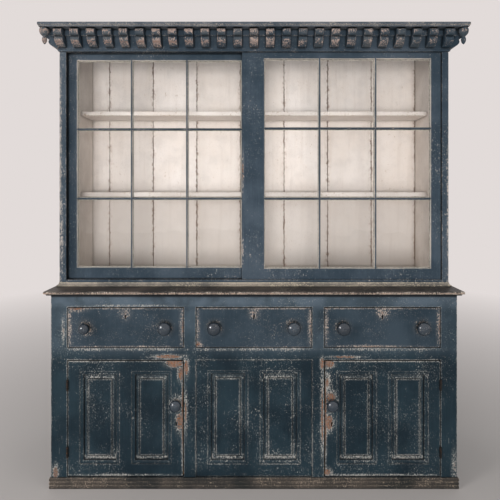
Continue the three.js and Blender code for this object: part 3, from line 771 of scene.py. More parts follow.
# %% Base frame paint
base_frame_wear = [
    (-0.405, 0.622, 0.110, 0.016, 0.85),
    (-0.320, 0.570, 0.022, 0.075, 0.75),
    (-0.322, 0.360, 0.014, 0.160, 0.60),
    (0.322, 0.340, 0.014, 0.330, 0.66),
    (0.322, 0.590, 0.018, 0.050, 0.85),
    (0.420, 0.620, 0.130, 0.010, 0.75),
    (-0.936, 0.075, 0.026, 0.060, 0.70),
    (-0.900, 0.750, 0.014, 0.110, 0.52),
    (0.945, 0.100, 0.022, 0.120, 0.50),
]
bays = {}
for hand in ("left", "centre", "right"):
    low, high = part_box(f"{hand}_drawer_front")
    bays[hand] = (low.x + high.x) / 2
    for step in (-0.16, 0.0, 0.16):
        base_frame_wear.append((bays[hand] + step, 0.656, 0.170, 0.011, 0.46))
base_frame_wear.append((-0.600, 0.862, 0.340, 0.008, 0.50))


def lit_faded_rails_and_waist_shadow(tree, inputs):
    """Rails lighter by fading and painted light, and a painted shadow under the waist board."""
    level = own_level(tree)
    # Lighter rails: partly sun fading, partly painted light.
    rails = plus(ramp(level, 0.600, 0.680, 0.0, 0.38), ramp(level, 0.840, 0.880, 0.0, 0.34))
    cloudy = ramp(noise(own_place(tree), 7.0, 3.0, 0.6), 0.35, 0.65, 0.5, 1.3)
    inputs["Sunning_and_light"] = times(cloudy, rails)
    # A dark line painted under the waist board: its shadow, with some dirt.
    inputs["Dirt_and_shade"] = higher(inputs["Dirt_and_shade"], ramp(level, 0.8985, 0.9055, 0.0, 0.9))


frame_paint = painted(
    "Base_frame_paint", base_blue, base_frame_wear, crevice=0.03, chips=0.55, local=lit_faded_rails_and_waist_shadow
)
side_paint = painted("Base_side_paint", base_blue, scratches=0.4)
# Near-black paint for faces in gaps, tracks and hollows: painted shadow, with some dirt.
shadow_and_grime_colours = tones((15, 17, 19), (27, 27, 27), (70, 62, 54))
shadow_and_grime_paint = painted("Shadow_and_grime_edge_paint", shadow_and_grime_colours, arris_wear=0.0, chips=0.3, scratches=0.0)
print("Worn places of the base frame:", len(base_frame_wear))

# %% Base frame and sides
hands = {"left": -1, "right": 1}


def faces_back(centre, normal):
    """Whether a face looks to the back."""
    return normal.y > 0.9


def faces_in(side):
    """A test for faces that look to the middle, for a board on the left (-1) or right (1)."""
    return lambda centre, normal: side * normal.x < -0.5


face_frame = softened("base_face_frame", "dark_paint", [frame_paint, (pine_upright, faces_back)])
for hand, side in hands.items():
    softened(f"base_{hand}_side", "dark_paint", [side_paint, (pine_upright, faces_in(side))])
print("Base frame:", len(face_frame.data.polygons), "faces")

# %% Inside of the base
inside_of_base = {"base_floor": pine_level, "drawer_deck": pine_level, "base_back": pine_boards}
for node, material in inside_of_base.items():
    softened(node, "bare_pine", [material])
print("Inside of the base:", list(inside_of_base))

# %% [markdown]
# ## Panels
#
# Each door holds two raised and fielded panels, and the fixed frame between the doors holds two
# more. The light catches the arris round the field. A pale band runs along the bevel at the foot,
# which is rubbed nearly to the ground, and along the top of the field: partly wear and partly
# painted highlight where the light catches them. The top moulding throws a dark line. One paint
# serves all six.

# %% Panels and the fixed frame
# Pale bands at the foot bevel and the field's top: wear and painted highlight.
panel_wear_and_highlight = [(0, 0.141, 6.0, 0.022, 0.42), (0, 0.518, 6.0, 0.014, 0.30)]
panel_paint = painted(
    "Panel_paint", base_blue, panel_wear_and_highlight, 0.011, arris_wear=0.75, chips=0.6, haze=0.55
)
centre_paint = painted("Centre_frame_paint", base_blue, chips=0.55, scratches=0.55)
panel_finish = [panel_paint, (pine_upright, faces_back)]
softened("centre_frame", "dark_paint", [centre_paint, (pine_upright, faces_back)], fine_arris)
for hand in hands:
    softened(f"centre_{hand}_panel", "dark_paint", panel_finish, fine_arris)
print("Panels of the fixed frame:", len(hands))

# %% [markdown]
# ## Doors
#
# A door is pulled open at its inner edge, so that edge is chipped to the wood from the top
# corner down to the knob. Some of these chips are the largest on the dresser, and each door
# has its own list of them.

# %% Doors
door_wear = {
    "left": [
        (-0.375, 0.592, 0.070, 0.036, 0.95),
        (-0.345, 0.540, 0.026, 0.060, 0.80),
        (-0.337, 0.340, 0.010, 0.330, 0.75),
        (-0.352, 0.315, 0.034, 0.085, 0.72),
        (-0.363, 0.400, 0.056, 0.056, 0.60),
        (-0.600, 0.064, 0.400, 0.008, 0.46),
    ],
    "right": [
        (0.355, 0.590, 0.040, 0.034, 0.95),
        (0.345, 0.500, 0.026, 0.070, 0.60),
        (0.337, 0.330, 0.011, 0.330, 0.80),
        (0.355, 0.312, 0.034, 0.070, 0.80),
        (0.363, 0.430, 0.050, 0.050, 0.72),
        (0.345, 0.078, 0.034, 0.034, 0.72),
        (0.600, 0.064, 0.400, 0.008, 0.50),
    ],
}
near_edge = 0.0005
door_head_cut, latch_cut, drawer_head_cut = 0.0052, 0.0045, 0.0054


def faces_gap(centre, normal):
    """Whether a face looks into the gap round a drawer or a door."""
    return normal.z > 0.75 or abs(normal.x) > 0.75


def head_planed(head, depth):
    """A cut that planes back the top edge of a piece."""
    return lambda point: point.z > head - near_edge, (0, 0, -depth)


def latch_planed(latch):
    """A cut that planes back the edge where a door closes, away from the middle."""
    move = math.copysign(latch_cut, latch)
    return lambda point: abs(point.x - latch) < near_edge, (move, 0, 0)


for hand, spots in door_wear.items():
    node = f"{hand}_door_frame"
    low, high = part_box(node)
    latch = min(low.x, high.x, key=abs)
    cuts = (head_planed(high.z, door_head_cut), latch_planed(latch))
    name = f"{hand.capitalize()}_door_paint"
    paint = painted(name, base_blue, spots, crevice=0.02, arris_wear=0.5, chips=0.65)
    # Faces in the gap get the near-black paint: painted shadow with some dirt.
    finishes = [paint, (pine_upright, faces_back), (shadow_and_grime_paint, faces_gap)]
    softened(node, "dark_paint", finishes, fine_arris, shape=partial(planed, cuts=cuts))
    for which in ("outer", "inner"):
        softened(f"{hand}_door_{which}_panel", "dark_paint", panel_finish, fine_arris)
print("Doors:", list(door_wear))

# %% [markdown]
# ## Drawers
#
# The drawer fronts are rubbed round their keyholes, round their knobs and at their ends, and
# each has a few worn places more of its own, so no two wear alike. The boxes behind them are
# bare pine.

# %% Drawers
drawer_own_wear = {
    "left": [
        (-0.835, 0.850, 0.080, 0.026, 0.66),
        (-0.333, 0.760, 0.016, 0.130, 0.66),
        (-0.600, 0.668, 0.340, 0.008, 0.42),
    ],
    "centre": [
        (-0.265, 0.680, 0.030, 0.034, 0.62),
        (0.268, 0.740, 0.010, 0.140, 0.50),
        (-0.050, 0.856, 0.200, 0.007, 0.50),
    ],
    "right": [
        (0.878, 0.760, 0.014, 0.120, 0.60),
        (0.345, 0.852, 0.030, 0.018, 0.56),
        (0.560, 0.670, 0.300, 0.010, 0.52),
    ],
}
knob_from_middle, end_from_middle = 0.187, 0.266
for hand, own_wear in drawer_own_wear.items():
    node, bay = f"{hand}_drawer_front", bays[hand]
    spots = [
        (bay, 0.828, 0.040, 0.046, 0.50),
        (bay, 0.856, 0.110, 0.014, 0.50),
        (bay - knob_from_middle, 0.759, 0.050, 0.050, 0.57),
        (bay + knob_from_middle, 0.759, 0.050, 0.050, 0.57),
        (bay - end_from_middle, 0.765, 0.018, 0.150, 0.46),
        (bay + end_from_middle, 0.765, 0.018, 0.150, 0.50),
        *own_wear,
    ]
    name = f"{hand.capitalize()}_drawer_paint"
    # The wide crevice darkens a ring round each knob: painted shade with some dirt.
    paint = painted(name, drawer_blue, spots, crevice=0.03, arris_wear=0.45, scratches=0.25)
    finishes = [paint, (pine_level, faces_back), (shadow_and_grime_paint, faces_gap)]
    cuts = [head_planed(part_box(node)[1].z, drawer_head_cut)]
    softened(node, "dark_paint", finishes, shape=partial(planed, cuts=cuts))
    softened(f"{hand}_drawer_box", "bare_pine", [pine_deep], box_arris)
print("Drawer bays at", {hand: round(bay, 3) for hand, bay in bays.items()})

# %% [markdown]
# ## Turned knobs
#
# A knob is turned on a lathe, so it is made by spinning half of its outline. The outline is
# drawn point by point by extruding a vertex, then spun all the way round, joined up and
# smoothed. One knob is made, and all the knobs are copies of it, each brought to its own width.


# %% Turning
def drawn_line(name, points):
    """A line of vertices: one vertex at the first point, extruded to each next point."""
    points = [Vector(point) for point in points]
    bpy.ops.object.select_all(action="DESELECT")
    bpy.ops.mesh.primitive_plane_add(size=0.001)
    piece = bpy.context.object
    piece.name = piece.data.name = name
    bpy.ops.object.mode_set(mode="EDIT")
    bpy.ops.mesh.select_mode(type="VERT")
    bpy.ops.mesh.select_all(action="SELECT")
    bpy.ops.mesh.merge(type="CENTER")
    bpy.ops.transform.translate(value=points[0])
    for before, after in zip(points, points[1:]):
        bpy.ops.mesh.extrude_vertices_move(TRANSFORM_OT_translate={"value": after - before})
    return piece


def turned_piece(name, outline, centre, along, steps=40):
    """Spins an outline of (radius, distance along the axis) about the axis through the centre."""
    centre, along = Vector(centre), Vector(along)
    points = [centre + Vector((radius, 0, 0)) + out * along for radius, out in outline]
    piece = drawn_line(name, points)
    bpy.ops.mesh.select_all(action="SELECT")
    bpy.ops.mesh.spin(steps=steps, angle=math.tau, center=centre, axis=along)
    bpy.ops.mesh.select_all(action="SELECT")
    bpy.ops.mesh.remove_doubles(threshold=same_point)
    close_outwards()
    bpy.ops.object.shade_smooth()
    smoother = piece.modifiers.new("Smooth", "SUBSURF")
    smoother.levels = smoother.render_levels = 1
    bpy.ops.object.modifier_apply(modifier=smoother.name)
    return piece


def copied(pattern, name, move):
    """A copy of a pattern with its own mesh, moved into its place."""
    piece = pattern.copy()
    piece.data = pattern.data.copy()
    piece.name = piece.data.name = name
    scene.collection.objects.link(piece)
    piece.data.transform(move)
    return piece


print("The lathe is ready")

# %% Knobs
knob_pattern_width = 0.064
knob_outline = [
    (0.000, -0.0004), (0.490, -0.0004), (0.500, 0.0012), (0.490, 0.0040), (0.400, 0.0070),
    (0.335, 0.0105), (0.340, 0.0155), (0.450, 0.0190), (0.720, 0.0208), (0.910, 0.0232),
    (0.990, 0.0268), (0.975, 0.0310), (0.890, 0.0358), (0.750, 0.0402), (0.560, 0.0440),
    (0.350, 0.0464), (0.160, 0.0474), (0.000, 0.0475),
]
knob_profile = [(share * knob_pattern_width / 2, out) for share, out in knob_outline]
knob_pattern = turned_piece("Knob_pattern", knob_profile, (0, 0, 0), (0, -1, 0))
knob_blue = tones((20, 32, 42), (38, 51, 61), (150, 144, 138))
knob_paint = painted(
    "Knob_paint", knob_blue, width=0.004, shine=1.0, polish=0.27, arris_wear=0.2, scratches=0.0
)
finish(knob_pattern, knob_paint)
knobs = sorted(name for name in frame["nodes"] if name.endswith("_knob"))
for node in knobs:
    low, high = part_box(node)
    wider = (high.x - low.x) / knob_pattern_width
    foot = Vector(((low.x + high.x) / 2, base_front, (low.z + high.z) / 2))
    move = Matrix.Translation(foot) @ Matrix.Diagonal((wider, 1, wider, 1))
    knob = copied(knob_pattern, node.capitalize(), move)
    keep_piece(knob, body_of_node(node), "knob_paint", node)
bpy.data.objects.remove(knob_pattern)
print("Knobs:", len(knobs))

# %% [markdown]
# ## Waist board, plinth and foot moulding
#
# These three take the knocks. The waist board is worn to brown on top with a pale nose, the
# foot moulding of the display case is rubbed to its ground, and the reeds of the plinth are
# scuffed by shoes. They have their own colours and more wear than the boards. The hollow under
# the nose of the waist board is painted near black, as its shadow, with some dirt.

# %% Worn mouldings
waist_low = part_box("waist_board")[0].z
waist_wear = [(0, waist_low + 0.0115, 6.0, 0.0055, 0.60)]
waist_colours = tones((36, 34, 33), (88, 79, 73), (188, 180, 168), (140, 98, 78))
waist_paint = painted(
    "Waist_paint", waist_colours, waist_wear, 0.006, 0.008,
    arris_wear=0.95, chips=0.9, scratches=0.0, haze=0.1,
)
hollow_height = 0.0076


def in_the_hollow(centre, normal):
    """Whether a face is in the hollow under the nose of the waist board."""
    return centre.z < waist_low + hollow_height


foot_colours = tones((92, 90, 86), (152, 142, 130), (205, 194, 172), (176, 128, 92))
foot_paint = painted(
    "Foot_paint", foot_colours, width=0.004, arris_wear=0.8, chips=0.9, scratches=0.0
)
plinth_colours = tones((32, 34, 34), (66, 60, 55), (158, 146, 130), (134, 98, 74))
plinth_paint = painted(
    "Plinth_paint", plinth_colours, width=0.0045, arris_wear=0.7, chips=0.8, scratches=0.0
)
# The hollow gets the near-black paint: painted shadow under the nose.
softened("waist_board", "worn_paint", [waist_paint, (shadow_and_grime_paint, in_the_hollow)])
softened("foot_moulding", "worn_paint", [foot_paint], fine_arris)
softened("plinth_moulding", "worn_paint", [plinth_paint], thin_arris)
print("The waist board starts at", round(waist_low, 3), "m")

# %% [markdown]
# ## Cream inside
#
# The inside of the display case is cream paint on upright boards. Old boards shrink, so each
# joint is a brown, broken line, rusty where it is widest, and every board has dried to its own
# shade. Faint stains run down the boards, and below the lower shelf they are darker with
# painted shade. The side walls are a darker cream than the back: painted shade, with some dirt.


# %% Cream boards
def board_joints(tree, colour):
    """Stains, a shade for each board, painted shade low down and brown joints, over a colour."""
    here = own_place(tree)
    count, gap = boards_across(tree)
    broken = noise(stretched(here, (90, 90, 50)), 1.0, 5.0, 0.7)
    joint_reach = ramp(broken, 0.38, 0.70, 0.0024, 0.010)
    joint = ramp(over(gap, joint_reach), 0.4, 1.0, 1.0, 0.0)
    filled = ramp(noise(stretched(here, (9, 9, 5)), 1.0, 2.0, 0.5), 0.36, 0.6, 0.35, 0.9)
    rusty = times(ramp(gap, 0.004, 0.024, 0.55, 0.0), ramp(broken, 0.5, 0.68))
    runs = ramp(noise(stretched(here, (34, 34, 2.2)), 1.0, 4.0, 0.6), 0.48, 0.72)
    clouds = ramp(noise(here, 11.0, 6.0, 0.7), 0.42, 0.68)
    colour = tinted(colour, times(board_shade(count), 0.18), 196, 180, 162)
    colour = tinted(colour, times(runs, 0.16), 176, 158, 142)
    # Darker below the lower shelf: painted shade.
    colour = tinted(colour, ramp(own_level(tree), 1.30, 1.42, 0.52, 0.0), 178, 170, 163)
    colour = tinted(colour, times(clouds, 0.28), 190, 182, 176)
    colour = tinted(colour, rusty, 158, 128, 102)
    return tinted(colour, times(joint, filled), 104, 78, 60)


def cream_paint(name, colours, boards=False, **wear):
    """Cream paint, with brown joints where it goes over boards."""
    material, shader = new_material(name)
    tree = material.node_tree
    arrises = use(tree, arris_group, {"Width": 0.004, "Crevice": 0.02})
    inputs = {**colours, **wear_amounts(**wear), "Rubbed": arrises["Rubbed"]}
    layers = use(tree, paint_group, inputs)
    colour = board_joints(tree, layers["Colour"]) if boards else layers["Colour"]
    # Inner corners are darkened: dirt and painted shade.
    colour = tinted(colour, times(arrises["Dirt_and_shade"], 0.5), 110, 92, 74)
    fill(shader, {"Base Color": colour, "Roughness": 0.6, "Specular IOR Level": 0.35})
    bump(shader, layers["Height"], depth=0.0003)
    return material


under_cream = (188, 168, 146)
cream_wood = (150, 112, 84)
back_tones = tones((236, 228, 222), (231, 221, 213), under_cream, cream_wood)
shelf_tones = tones((226, 218, 211), (214, 204, 196), (164, 138, 112), cream_wood)
# The side walls' darker cream is painted shade, with some dirt.
side_tones_with_shade = tones((210, 201, 193), (188, 178, 169), under_cream, cream_wood)
back_cream = cream_paint(
    "Cream_boards", back_tones, True, arris_wear=0.3, chips=0.35, scratches=0.2
)
shelf_cream = cream_paint("Cream_shelf", shelf_tones, arris_wear=0.9, chips=0.7, scratches=0.1)
shaded_side_cream = cream_paint("Cream_sides_with_shade", side_tones_with_shade, scratches=0.1)
print("Cream:", back_cream.name, shelf_cream.name, shaded_side_cream.name)

# %% [markdown]
# ## The display case
#
# The sides are blue outside and cream inside, from the back of the sash tracks. The copies are
# cut by a plane there, so that the two paints meet in a straight line. Between the tracks the
# sides are painted near black, as shade in the tracks along with some grime. The outer faces
# have a paint of their own without worn places, because a worn place reaches through from the
# front to the back.

# %% Display case paints
case_low, case_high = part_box("upper_right_side")
case_half, case_front = case_high.x, case_low.y
track_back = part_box("frieze_rail")[1].y
upper_wear = [
    (-0.954, 1.55, 0.010, 0.90, 0.46),
    (-0.950, 1.20, 0.014, 0.30, 0.46),
    (0.955, 1.30, 0.008, 0.60, 0.40),
]
upper_paint = painted(
    "Upper_paint", upper_blue, upper_wear, width=0.004, crevice=0.03, chips=0.6, scratches=0.3
)
upper_side_paint = painted("Upper_side_paint", upper_blue, width=0.004, scratches=0.3)
print("The cream starts at y =", round(track_back, 3))

# %% Display case boards
outer_skin, hair = 0.003, 0.0001
rear_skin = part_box("upper_back")[0].y + 0.006


def cut_at_tracks(piece):
    """Cuts new edges into a piece along the back of the sash tracks."""
    open_all(piece)
    bpy.ops.mesh.bisect(plane_co=(0, track_back, 0), plane_no=(0, 1, 0))
    bpy.ops.object.mode_set(mode="OBJECT")


def behind_tracks(centre, normal):
    """Whether a face is behind the sash tracks."""
    return centre.y > track_back + hair


def side_finishes(side):
    """Blue in front, shaded cream inside, plain blue outside, painted shade in the tracks."""

    def inside(centre, normal):
        return side * normal.x < -0.5 and behind_tracks(centre, normal)

    def outside(centre, normal):
        return side * normal.x > 0.8 and abs(centre.x) > case_half - outer_skin

    # The track faces get near-black paint: painted shade with some grime.
    def at_tracks(centre, normal):
        return side * normal.x < -0.8 and centre.y < track_back

    behind, beside = (shaded_side_cream, inside), (upper_side_paint, outside)
    return [upper_paint, behind, beside, (shadow_and_grime_paint, at_tracks)]


for hand, side in hands.items():
    softened(f"upper_{hand}_side", "upper_paint", side_finishes(side), shape=cut_at_tracks)
floor_finishes = [upper_paint, (shelf_cream, behind_tracks)]
softened("upper_floor", "upper_paint", floor_finishes, shape=cut_at_tracks)
softened("frieze_rail", "upper_paint", [upper_paint])
back_finishes = [back_cream, (pine_boards, lambda centre, normal: centre.y > rear_skin)]
softened("upper_back", "cream_paint", back_finishes, thin_arris)
for node in ("upper_shelf", "lower_shelf"):
    softened(node, "cream_paint", [shelf_cream], worn_arris)
print("Display case: sides, floor, frieze, back and two shelves")

# %% [markdown]
# ## Sashes
#
# The stiles and rails round the glass are worn pale along their inner moulding, where a putty
# knife and a duster have run for a century, and so are the flanks of the bars. The faces of
# the bars stay dark. So these narrow faces get a paler paint of their own.

# %% Sash frames
sash_wear = [(-0.055, 1.500, 0.009, 0.140, 0.62), (-0.056, 1.120, 0.007, 0.110, 0.50)]
sash_paint = painted(
    "Sash_paint", upper_blue, sash_wear, 0.003, 0.016, arris_wear=0.5, scratches=0.35
)
edge_colours = tones((136, 135, 131), (178, 170, 162), (205, 198, 184), (160, 120, 92))
edge_paint = painted(
    "Sash_edge_paint", edge_colours, width=0.004, arris_wear=0.8, chips=0.7, scratches=0.0
)
glass_lap = 0.0057
sight_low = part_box("left_sash_glass")[0].z + glass_lap
sight_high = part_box("left_sash_glass")[1].z - glass_lap
moulding_width, near_glass = 0.010, 0.005


def round_the_glass(left, right):
    """A test for faces of the moulding round the glass, and for the flanks of the bars."""

    def test(centre, normal):
        near_side = min(abs(centre.x - left), abs(centre.x - right)) < near_glass
        near_end = min(abs(centre.z - sight_low), abs(centre.z - sight_high)) < near_glass
        within = left - moulding_width < centre.x < right + moulding_width
        flank_of_bar = abs(normal.x) > 0.8 and sight_low < centre.z < sight_high
        return within and (abs(normal.y) < 0.95 and (near_side or near_end) or flank_of_bar)

    return test


sight_sides = {}
for hand in hands:
    low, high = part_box(f"{hand}_sash_glass")
    left, right = sight_sides[hand] = low.x + glass_lap, high.x - glass_lap
    finishes = [sash_paint, (edge_paint, round_the_glass(left, right))]
    softened(f"{hand}_sash_frame", "upper_paint", finishes, thin_arris)
print("Glass openings start at x =", [round(sides[0], 3) for sides in sight_sides.values()])

# %% [markdown]
# ## Panes
#
# The frame model has one sheet behind the bars of each sash. A real sash has a pane in each of
# its nine openings, held from behind by a fillet of putty against a thin tongue of the bar. One
# pane and one fillet are made, and each is copied into the other openings. The putty is a
# block whose back is pushed in and made smaller, with its two faces taken out and the edges
# left open joined to each other, which leaves a sloping fillet all round.

# %% Sizes of the panes
pane_count = 3
upright_bar, cross_bar, tongue, pane_play = 0.012, 0.010, 0.004, 0.0004
left, right = sight_sides["left"]
sight_width, sight_height = right - left, sight_high - sight_low
pitch_x = (sight_width + upright_bar) / pane_count
pitch_z = (sight_height + cross_bar) / pane_count
half_w = (pitch_x - tongue - pane_play) / 2
half_h = (pitch_z - tongue - pane_play) / 2
pane_front, pane_back = 0.0124, 0.0150
putty_front, putty_back, putty_slope = 0.0152, 0.0200, 0.0055
print("Pane", round(2 * half_w, 4), "by", round(2 * half_h, 4), "m")


# %% Pane and putty patterns
def slab(name, low, high):
    """A block between two corners, left in edit mode to be shaped."""
    low, high = Vector(low), Vector(high)
    bpy.ops.object.select_all(action="DESELECT")
    bpy.ops.mesh.primitive_cube_add(size=1, location=(low + high) / 2, scale=high - low)
    piece = bpy.context.object
    piece.name = piece.data.name = name
    bpy.ops.object.transform_apply(location=True, scale=True)
    bpy.ops.object.mode_set(mode="EDIT")
    bpy.ops.mesh.select_all(action="SELECT")
    return piece


def pick_faces(piece, test):
    """In edit mode, selects the faces whose normal passes a test."""
    bpy.ops.object.mode_set(mode="OBJECT")
    clear_picks(piece)
    for face in piece.data.polygons:
        face.select = test(face.normal)
    bpy.ops.object.mode_set(mode="EDIT")
    bpy.ops.mesh.select_mode(type="FACE")


pane_pattern = slab("Pane_pattern", (-half_w, pane_front, -half_h), (half_w, pane_back, half_h))
bpy.ops.mesh.bevel(offset=0.0003, segments=1)
bpy.ops.object.mode_set(mode="OBJECT")

putty_pattern = slab("Putty_pattern", (-half_w, putty_front, -half_h), (half_w, putty_back, half_h))
pick_faces(putty_pattern, lambda normal: normal.y > 0.9)
pushed_in = {"value": (0, putty_front - putty_back, 0)}
bpy.ops.mesh.extrude_region_move(TRANSFORM_OT_translate=pushed_in)
smaller = (1 - putty_slope / half_w, 1, 1 - putty_slope / half_h)
bpy.ops.transform.resize(value=smaller, center_override=(0, 0, 0))
pick_faces(putty_pattern, lambda normal: abs(normal.y) > 0.99)
bpy.ops.mesh.delete(type="ONLY_FACE")
bpy.ops.mesh.select_mode(type="EDGE")
bpy.ops.mesh.select_all(action="DESELECT")
bpy.ops.mesh.select_non_manifold()
bpy.ops.mesh.bridge_edge_loops()
close_outwards()
print("Putty pattern:", len(putty_pattern.data.polygons), "faces")

# %% Putty and bar tongues
putty, shader = new_material("Putty")
putty_shade = ramp(noise(own_place(putty.node_tree), 120.0, 4.0, 0.6), 0.35, 0.7)
putty_colour = mixed(putty_shade, from_screen(190, 184, 170), from_screen(120, 116, 108))
fill(shader, {"Base Color": putty_colour, "Roughness": 0.8})
tongue_front, tongue_back, tongue_overlap = 0.0121, 0.0199, 0.0003


def bar_tongues(name, left, face, body):
    """The thin tongues behind the bars of one sash, between its panes."""
    front, back, half = face + tongue_front, face + tongue_back, tongue / 2
    inner_front, inner_back = front + tongue_overlap, back - tongue_overlap
    right = left + sight_width
    pieces = []
    for number in range(1, pane_count):
        x = left + number * pitch_x - upright_bar / 2
        z = sight_low + number * pitch_z - cross_bar / 2
        upright = ((x - half, front, sight_low), (x + half, back, sight_high))
        across = ((left, inner_front, z - half), (right, inner_back, z + half))
        for corner, far_corner in (upright, across):
            pieces.append(slab(f"{name}_{len(pieces)}", corner, far_corner))
            bpy.ops.mesh.bevel(offset=0.0004, segments=1)
            bpy.ops.object.mode_set(mode="OBJECT")
    whole = pieces[0]
    only(whole)
    for piece in pieces[1:]:
        piece.select_set(True)
    bpy.ops.object.join()
    whole.name = whole.data.name = name
    finish(whole, sash_paint)
    keep_piece(whole, body, "upper_paint")


print("Tongue", tongue, "m wide")

# %% Panes and putty in their openings
finish(pane_pattern, glass)
finish(putty_pattern, putty)
for hand, (left, right) in sight_sides.items():
    body, label = f"{hand}_sash", f"{hand.capitalize()}_sash"
    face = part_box(f"{hand}_sash_frame")[0].y
    bar_tongues(f"{label}_tongues", left, face, body)
    for column in range(pane_count):
        for row in range(pane_count):
            x = left + column * pitch_x + (pitch_x - upright_bar) / 2
            z = sight_low + row * pitch_z + (pitch_z - cross_bar) / 2
            move = Matrix.Translation((x, face, z))
            opening = f"{column + 1}{row + 1}"
            pane = copied(pane_pattern, f"{label}_pane_{opening}", move)
            keep_piece(pane, body, "clear_glass", f"{hand}_sash_glass")
            keep_piece(copied(putty_pattern, f"{label}_putty_{opening}", move), body, "upper_paint")
for pattern in (pane_pattern, putty_pattern):
    bpy.data.objects.remove(pattern)
print("Panes:", len(sight_sides) * pane_count ** 2)

# %% [markdown]
# ## The cornice
#
# The cornice is a cove under a plain fascia, with a row of scroll brackets glued along it. The
# moulding runs round the front and both sides. It is drawn as a line round the case, and each
# point of the moulding's profile is the same line raised and pushed outwards. The way outwards
# is a resize about the middle of the back edge, which keeps the back where it is.


# %% A moulding wrapped round the case
def along_curve(start, bend, end, count):
    """Points of a quadratic curve, without its start."""
    start, bend, end = Vector(start), Vector(bend), Vector(end)
    shares = [number / count for number in range(1, count + 1)]
    return [tuple((1 - t) ** 2 * start + 2 * t * (1 - t) * bend + t * t * end) for t in shares]


case_rear = case_high.y - 0.0001


def wrapped_moulding(name, profile):
    """Draws a closed profile of (reach, level) round the front and sides of the display case."""
    reach, level = profile[0]
    corner_x, corner_y = case_half + reach, case_front - reach
    left_side = [(-corner_x, case_rear), (-corner_x, corner_y)]
    right_side = [(corner_x, corner_y), (corner_x, case_rear)]
    piece = drawn_line(name, [(x, y, level) for x, y in left_side + right_side])
    bpy.ops.mesh.select_all(action="SELECT")
    for (reach, level), (next_reach, next_level) in zip(profile, profile[1:] + profile[:1]):
        raised = {"value": (0, 0, next_level - level)}
        bpy.ops.mesh.extrude_edges_move(TRANSFORM_OT_translate=raised)
        wider = (case_half + next_reach) / (case_half + reach)
        deeper = (case_rear - case_front + next_reach) / (case_rear - case_front + reach)
        bpy.ops.transform.resize(value=(wider, deeper, 1), center_override=(0, case_rear, 0))
    bpy.ops.mesh.select_all(action="SELECT")
    bpy.ops.mesh.remove_doubles(threshold=2 * same_point)
    bpy.ops.mesh.fill_holes(sides=0)
    close_outwards()
    return piece


print("A moulding runs", round(2 * (case_half + case_rear - case_front), 3), "m round the case")

# %% Cornice moulding
cornice_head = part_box("cornice_top")[0].z
top_gap = 0.0003
wall, bead_foot_reach, bead_reach, bead_top_reach = 0.0003, 0.0035, 0.0070, 0.0040
cove_reach, fillet_reach, fascia_reach = 0.025, 0.0255, 0.030
cove_foot, fascia_foot = cornice_head - 0.098, cornice_head - 0.029
bead_middle, bead_top, cove_top = cove_foot + 0.006, cove_foot + 0.0105, fascia_foot - 0.001
bead_start, bead_side = (bead_foot_reach, cove_foot), (bead_reach, bead_middle)
bead_end, cove_end = (bead_top_reach, bead_top), (cove_reach, cove_top)
cove_profile = [
    (wall, cove_foot),
    bead_start,
    *along_curve(bead_start, (bead_reach, cove_foot + 0.001), bead_side, 4),
    *along_curve(bead_side, (0.0068, cove_foot + 0.010), bead_end, 4),
    *along_curve(bead_end, (0.005, fascia_foot - 0.002), cove_end, 9),
    (fillet_reach, fascia_foot),
    (fascia_reach, fascia_foot),
    (fascia_reach, cornice_head - top_gap),
    (wall, cornice_head - top_gap),
]
cove = wrapped_moulding("Cornice_cove", cove_profile)
ease(cove, thin_arris)
keep_piece(cove, "case", "upper_paint", "bracketed_cornice")
cornice_paint = painted(
    "Cornice_paint", upper_blue, width=0.004, arris_wear=0.5, chips=0.45, scratches=0.2
)
finish(cove, cornice_paint)
print("Cornice profile:", len(cove_profile), "points")

# %% [markdown]
# ## Scroll brackets
#
# A bracket is a round roll above a belly that runs out in a tail. One is cut from a board: its
# side view is drawn as a line, filled, and extruded to the width of the bracket. Its faces that
# look forward are worn to pinkish brown, most in a band across the roll and one across the
# belly, which are also painted highlights, and its cheeks stay blue. It is copied 25 times
# along the front and 6 times along each side.

# %% Bracket pattern
bracket_reach, bracket_height, bracket_width, roll = 0.068, 0.082, 0.040, 0.018
bracket_wall, bracket_drop = 0.0005, 0.0008


def bracket_side_view():
    """The outline of a bracket as (reach, level below the cornice head)."""

    def at(reach_share, drop_share):
        return (reach_share * bracket_reach, -drop_share * bracket_height)

    centre = (bracket_reach - roll - top_gap, -roll - bracket_drop)
    turns = [math.radians(-60 + 150 * number / 12) for number in range(13)]
    rolled = [(centre[0] + roll * math.cos(a), centre[1] + roll * math.sin(a)) for a in turns]
    notch, belly_end, tail_end = at(0.7, 0.46), at(0.46, 0.9), at(0.1, 0.995)
    tail_start = at(0.36, 0.93)
    return [
        (bracket_wall, -bracket_drop),
        (bracket_wall, tail_end[1]),
        tail_end,
        *along_curve(tail_end, at(0.3, 0.98), tail_start, 4),
        *along_curve(tail_start, at(0.40, 0.90), belly_end, 2),
        *along_curve(belly_end, at(0.95, 0.68), notch, 9),
        *rolled,
    ]


view = bracket_side_view()
cheek = -bracket_width / 2
bracket_pattern = drawn_line("Bracket_pattern", [(cheek, -reach, level) for reach, level in view])
bpy.ops.mesh.select_all(action="SELECT")
bpy.ops.mesh.edge_face_add()
bpy.ops.mesh.extrude_region_move(TRANSFORM_OT_translate={"value": (bracket_width, 0, 0)})
close_outwards()
ease(bracket_pattern, worn_arris, angle=40)
print("Bracket side view:", len(view), "points")

# %% Bracket paint and copies
bracket_colours = tones((40, 54, 64), (70, 76, 80), (158, 142, 133), (140, 104, 88))
